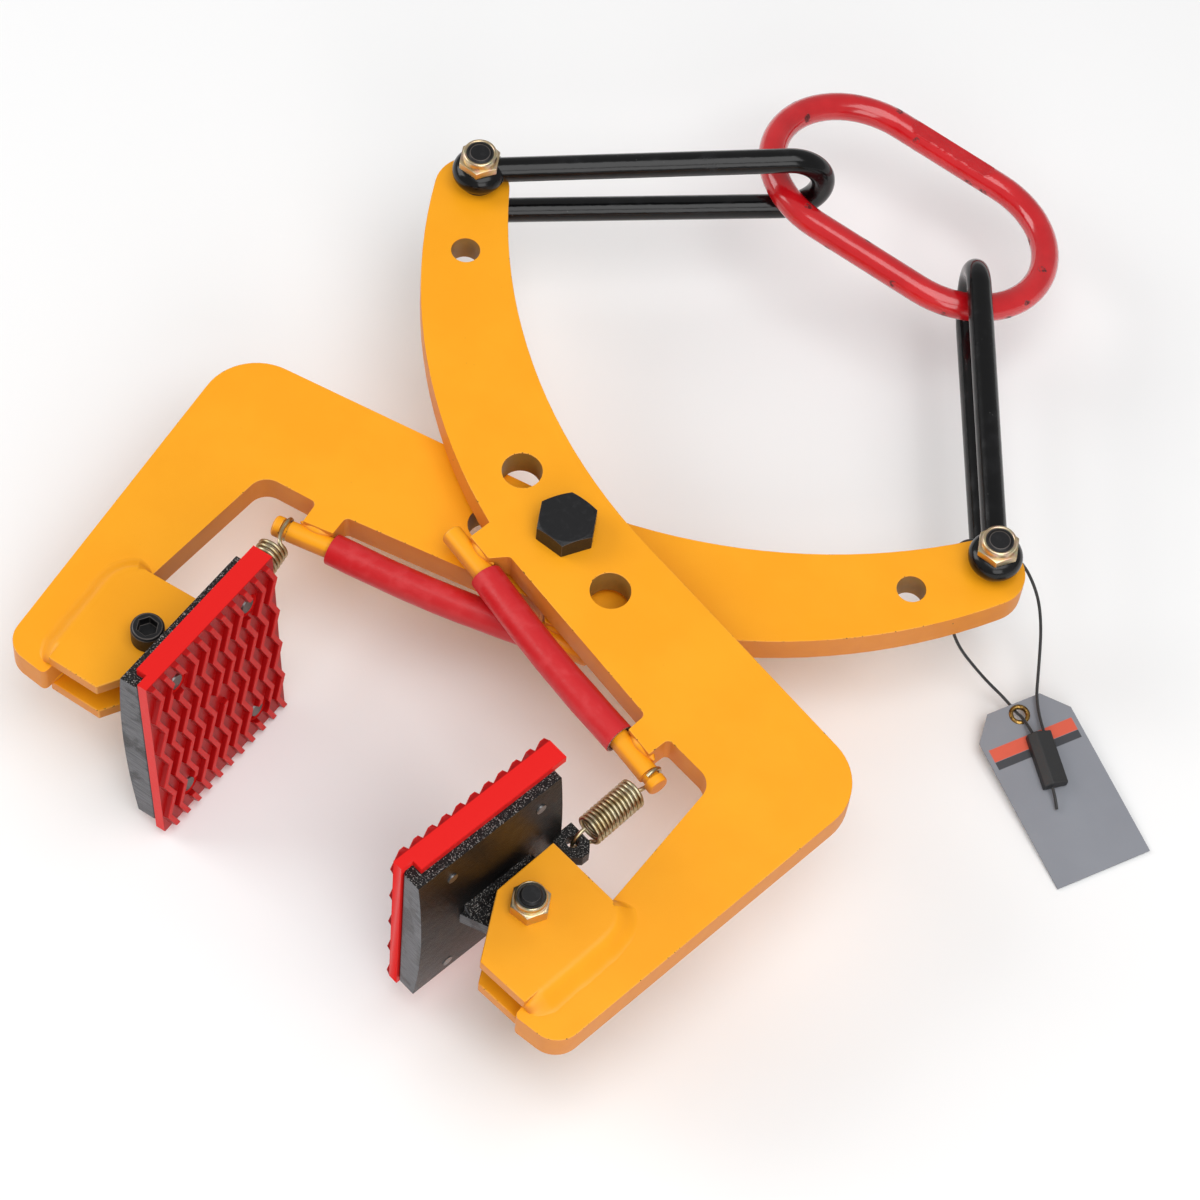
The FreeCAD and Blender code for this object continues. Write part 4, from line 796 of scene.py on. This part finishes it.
beads = 0
for side, outer in (("front", 1), ("rear", -1)):
    for cheek, way in (("outer", outer), ("inner", -outer)):
        weldFillet("%s_%s_fillet" % (side, cheek), side + "_arm", "%s_%s_cheek" % (side, cheek), side, way)
        beads += 1
    leg = weldSet["leg"]
    for level in leg["levels"]:
        route = [onSide(side, x, y, level) for x, y in leg["route"]]
        weldBead("%s_leg_weld_%d" % (side, beads), side + "_arm", route, leg, beads)
        beads += 1
    tab = weldSet["tab"]
    for start, stop in tab["spans"]:
        for rise in (tab["rise"], -tab["rise"]):
            steps = len(tab["swell"]) - 1
            stops = [start + (stop - start) * i / steps for i in range(steps + 1)]
            route = [onBar(side, along, tab["aside"], rise) for along in stops]
            weldBead("%s_tab_weld_%d" % (side, beads), side + "_arm", route, tab, beads)
            beads += 1
print("welds laid:", beads)

# Crowns of the lock nuts with their nylon rings: radii and lift in mm, and the way the crown faces
linkCrown = {"bolt": 7, "ring": 7.5, "rim": 9.6, "lift": 2.2, "way": 1, "squat": squatSet["nut"]}
jawCrown = {"bolt": 6, "ring": 7, "rim": 8.6, "lift": 0.7}
crownSet = {"left_link_nut": linkCrown, "right_link_nut": linkCrown,
            "right_jaw_pin_nut": {**jawCrown, "way": 1}, "left_jaw_pin_nut": {**jawCrown, "way": -1},
            "pivot_nut": {"bolt": 10, "ring": 11.4, "rim": 13.5, "lift": 0.8, "way": -1}}
crownShape = {"foot": -2.5, "inner": [(0, -0.9), (0.2, -0.3), (0.7, 0)],
              "outer": [(-0.7, -0.15), (-0.2, -0.7), (0, -1.5)],
              "insertFoot": -2, "insertInner": (0.02, -0.7), "insertOuter": (0.05, -0.6)}


# A closed outline of radius and rise spun about an axis
def turnedRing(name, outline, centre, axis, body, slot, steps=48):
    aside = axis.orthogonal().normalized()
    bm = bmesh.new()
    spots = [bm.verts.new(centre + (aside * radius + axis * rise) * mm) for radius, rise in outline]
    edges = [bm.edges.new((spots[i - 1], spots[i])) for i in range(len(spots))]
    bmesh.ops.spin(bm, geom=spots + edges, cent=centre, axis=axis, angle=2 * math.pi, steps=steps,
                   use_merge=True)
    bmesh.ops.remove_doubles(bm, verts=bm.verts, dist=easeSet["merge"])
    return newPiece(name, bm, body, slot, smoothSet["turned"])


for name, nut in crownSet.items():
    low, high = [Vector(corner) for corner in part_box(name)]
    crown = (low + high) / 2
    crown.z = low.z + (high.z - low.z) * nut.get("squat", 1) if nut["way"] > 0 else low.z
    axis = Vector((0, 0, nut["way"]))
    ring, rim, lift = nut["ring"], nut["rim"], nut["lift"]
    outline = [(ring + x, lift + y) for x, y in crownShape["inner"]]
    outline += [(rim + x, lift + y) for x, y in crownShape["outer"]]
    outline = [(ring, crownShape["foot"])] + outline + [(rim, crownShape["foot"])]
    turnedRing(name + "_crown", outline, crown, axis, bodyOf[name], "yellow_zinc")
    (innerGap, innerRise), (outerGap, outerRise) = crownShape["insertInner"], crownShape["insertOuter"]
    inner, outer = nut["bolt"] + innerGap, ring + outerGap
    outline = [(inner, crownShape["insertFoot"]), (inner, lift + innerRise),
               (outer, lift + outerRise), (outer, crownShape["insertFoot"])]
    turnedRing(name + "_insert", outline, crown, axis, bodyOf[name], "lock_plastic")
print("nut crowns:", len(crownSet))

# Lifting ring with its pressed flat, about its own middle
ringSet = {"centre": (1.4, 313.65, -9.28), "yaw": 6.25, "pitch": 5.78, "roll": -10.39, "straight": 34,
           "bend": 52, "radius": 8, "sides": 56, "arc": 30, "flat": 27.5, "ramp": 3, "depth": 1.75,
           "wave": 0.22, "waveRate": (0.3, 0.12), "markFrom": 0.4, "margin": 0.05, "slack": 0.01}


def ringPath():  # places along the middle of the bar and the way out from it
    straight, bend = ringSet["straight"], ringSet["bend"]
    path = [(Vector((x, bend, 0)), Vector((0, 1, 0))) for x in range(-straight, straight)]
    for middle, first in ((straight, 90), (-straight, -90)):
        for i in range(ringSet["arc"] + 1):
            angle = math.radians(first - 180 * i / ringSet["arc"])
            out = Vector((math.cos(angle), math.sin(angle), 0))
            path.append((Vector((middle, 0, 0)) + out * bend, out))
    return path


ringTurn = turnedBy(ringSet["yaw"], ringSet["pitch"], ringSet["roll"])
acrossRate, alongRate = ringSet["waveRate"]
rows, pressedRows = [], []
for place, out in ringPath():
    share = 0.0
    if place.y > ringSet["bend"] - ringSet["slack"]:  # on the far straight
        share = min(1, max(0, (ringSet["flat"] - abs(place.x)) / ringSet["ramp"]))
    row, pressed = [], []
    for i in range(ringSet["sides"]):
        angle = 2 * math.pi * i / ringSet["sides"]
        spot = place + (out * math.cos(angle) + Vector((0, 0, math.sin(angle)))) * ringSet["radius"]
        wave = ringSet["wave"] * noise.noise(Vector((spot.x * acrossRate, spot.y * alongRate, 1)))
        top = ringSet["radius"] - (ringSet["depth"] + wave) * share
        pressed.append(1.0 if share > ringSet["markFrom"] and spot.z > top - ringSet["margin"] else 0.0)
        spot.z = min(spot.z, top) if share > 0 else spot.z
        row.append(atPivot(*(Vector(ringSet["centre"]) + ringTurn @ spot)))
    rows.append(row)
    pressedRows.append(pressed)
bm = sweepRows(rows + rows[:1])
mark = bm.verts.layers.float.new("pressed")
bm.verts.ensure_lookup_table()
for vert, value in zip(bm.verts, [value for pressed in pressedRows + pressedRows[:1] for value in pressed]):
    vert[mark] = value
bmesh.ops.remove_doubles(bm, verts=bm.verts, dist=easeSet["merge"])
liftRing = newPiece("lifting_ring", bm, bodyOf["master_link"], "red_enamel", smoothSet["ring"])
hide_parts("master_link")
print("ring bent")

# Camera at the photograph's place, with plain screen colours
bpy.context.scene.view_settings.view_transform = "Standard"
cameraSet = {"place": (0.6100, -0.97911, 1.87797), "right": (0.7824, 0.618, 0.0774),
             "down": (0.568, -0.6569, -0.4959), "ahead": (-0.2556, 0.432, -0.8649),
             "lens": 117.72, "sensor": 36, "shiftX": -0.0533, "shiftY": 0.0375}
cameraData = bpy.data.cameras.new("camera")
cameraData.sensor_width = cameraSet["sensor"]
cameraData.lens = cameraSet["lens"]
cameraData.shift_x = cameraSet["shiftX"]
cameraData.shift_y = cameraSet["shiftY"]
camera = bpy.data.objects.new("camera", cameraData)
right, up, back = Vector(cameraSet["right"]), -Vector(cameraSet["down"]), -Vector(cameraSet["ahead"])
turn = Matrix((right, up, back)).transposed()
camera.matrix_world = Matrix.Translation(cameraSet["place"]) @ turn.to_4x4()
bpy.context.scene.collection.objects.link(camera)
bpy.context.scene.camera = camera

# Floor and soft studio light
floorSet = {"size": 6, "pale": (0.93, 0.93, 0.93, 1), "grey": (0.91, 0.91, 0.91, 1),
            "cloudSize": 400, "grainSize": 20}
floorMesh = bmesh.new()
bmesh.ops.create_grid(floorMesh, x_segments=1, y_segments=1, size=floorSet["size"])
floorData = bpy.data.meshes.new("floor")
floorMesh.to_mesh(floorData)
floorMesh.free()
floor = bpy.data.objects.new("floor", floorData)
bpy.context.scene.collection.objects.link(floor)
paper = Finish("floor_paper", {"Specular IOR Level": 0.1})
paper.set({"Base Color": paper.mix(paper.grain(floorSet["cloudSize"], 2), floorSet["pale"], floorSet["grey"]),
           "Roughness": 0.85 + 0.1 * paper.grain(floorSet["grainSize"], 2)})
floorData.materials.append(paper.material)

lamps = {"overhead": {"place": (0.75, -0.25, 2.5), "size": 2.1, "power": 38},
         "leftFill": {"place": (-2.3, -1.0, 1.6), "size": 1.6, "power": 29},
         "rightFill": {"place": (2.1, -1.7, 1.5), "size": 1.6, "power": 22}}
lampAim = Vector((0, 0.05, 0))
for name, lamp in lamps.items():
    light = bpy.data.lights.new(name, "AREA")
    light.shape = "SQUARE"
    light.size = lamp["size"]
    light.energy = lamp["power"]
    holder = bpy.data.objects.new(name, light)
    holder.location = lamp["place"]
    holder.rotation_euler = (lampAim - holder.location).to_track_quat("-Z", "Y").to_euler()
    bpy.context.scene.collection.objects.link(holder)
worldSet = {"Color": (1, 1, 1, 1), "Strength": 0.4}
world = bpy.data.worlds.new("studio")
world.use_nodes = True
for socket, value in worldSet.items():
    world.node_tree.nodes["Background"].inputs[socket].default_value = value
bpy.context.scene.world = world
print("camera, floor and lights set")

# Tag cord: from the lock over the lower rod of the right link, through the eyelet and back
cordSet = {"diameter": 0.0018, "length": 0.2747, "body": "right_link",
           "loop": [(250.5, 114.15, -63.05), (237.8, 124, -63.3), (225.6, 142.9, -58), (213.6, 159.2, -47.3),
                    (201.9, 168.7, -36.6), (185.1, 173.5, -25.5), (163.8, 167.6, -20.6), (151, 157.5, -25),
                    (166, 132, -25.5), (183.9, 111.1, -32), (205.1, 117.7, -59.5), (221.4, 119.9, -69.1),
                    (230.7, 116.9, -69.1), (236.3, 114.1, -63.8), (246.8, 108.9, -62.95)],
           "tail": [(274, 90.2, -65.8), (278.4, 86.9, -66.6), (282.9, 82.8, -69.4)],
           "eyelet": [(3.5, -0.9), (3.5, 0.5), (3.8, 1.0), (4.5, 1.3), (5.3, 1.15), (5.9, 0.7), (6, 0.4),
                      (5.9, -0.7), (5.2, -1), (4.2, -1.05)]}
tagMiddle = atPivot(*tagSet["origin"])
tagUp = turnedBy(tagSet["yaw"], tagSet["pitch"], 0) @ Vector((0, 0, 1))
eyelet = turnedRing("tag_eyelet_ring", cordSet["eyelet"], tagMiddle, tagUp, cordSet["body"], "eyelet_brass")
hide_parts("tag_eyelet")
loopPoints = [atPivot(*spot) for spot in cordSet["loop"]]
cordLoop = newCurve("cord_loop", loopPoints, cordSet["diameter"])
cordTail = newCurve("cord_tail", [atPivot(*spot) for spot in cordSet["tail"]], cordSet["diameter"])
for piece, node in ((cordLoop, "tag_cord"), (cordTail, "tag_cord_tail")):
    piece.data.materials.append(finishes["cord_weave"])
    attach(piece, cordSet["body"])
    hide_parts(node)
print("cord laid")
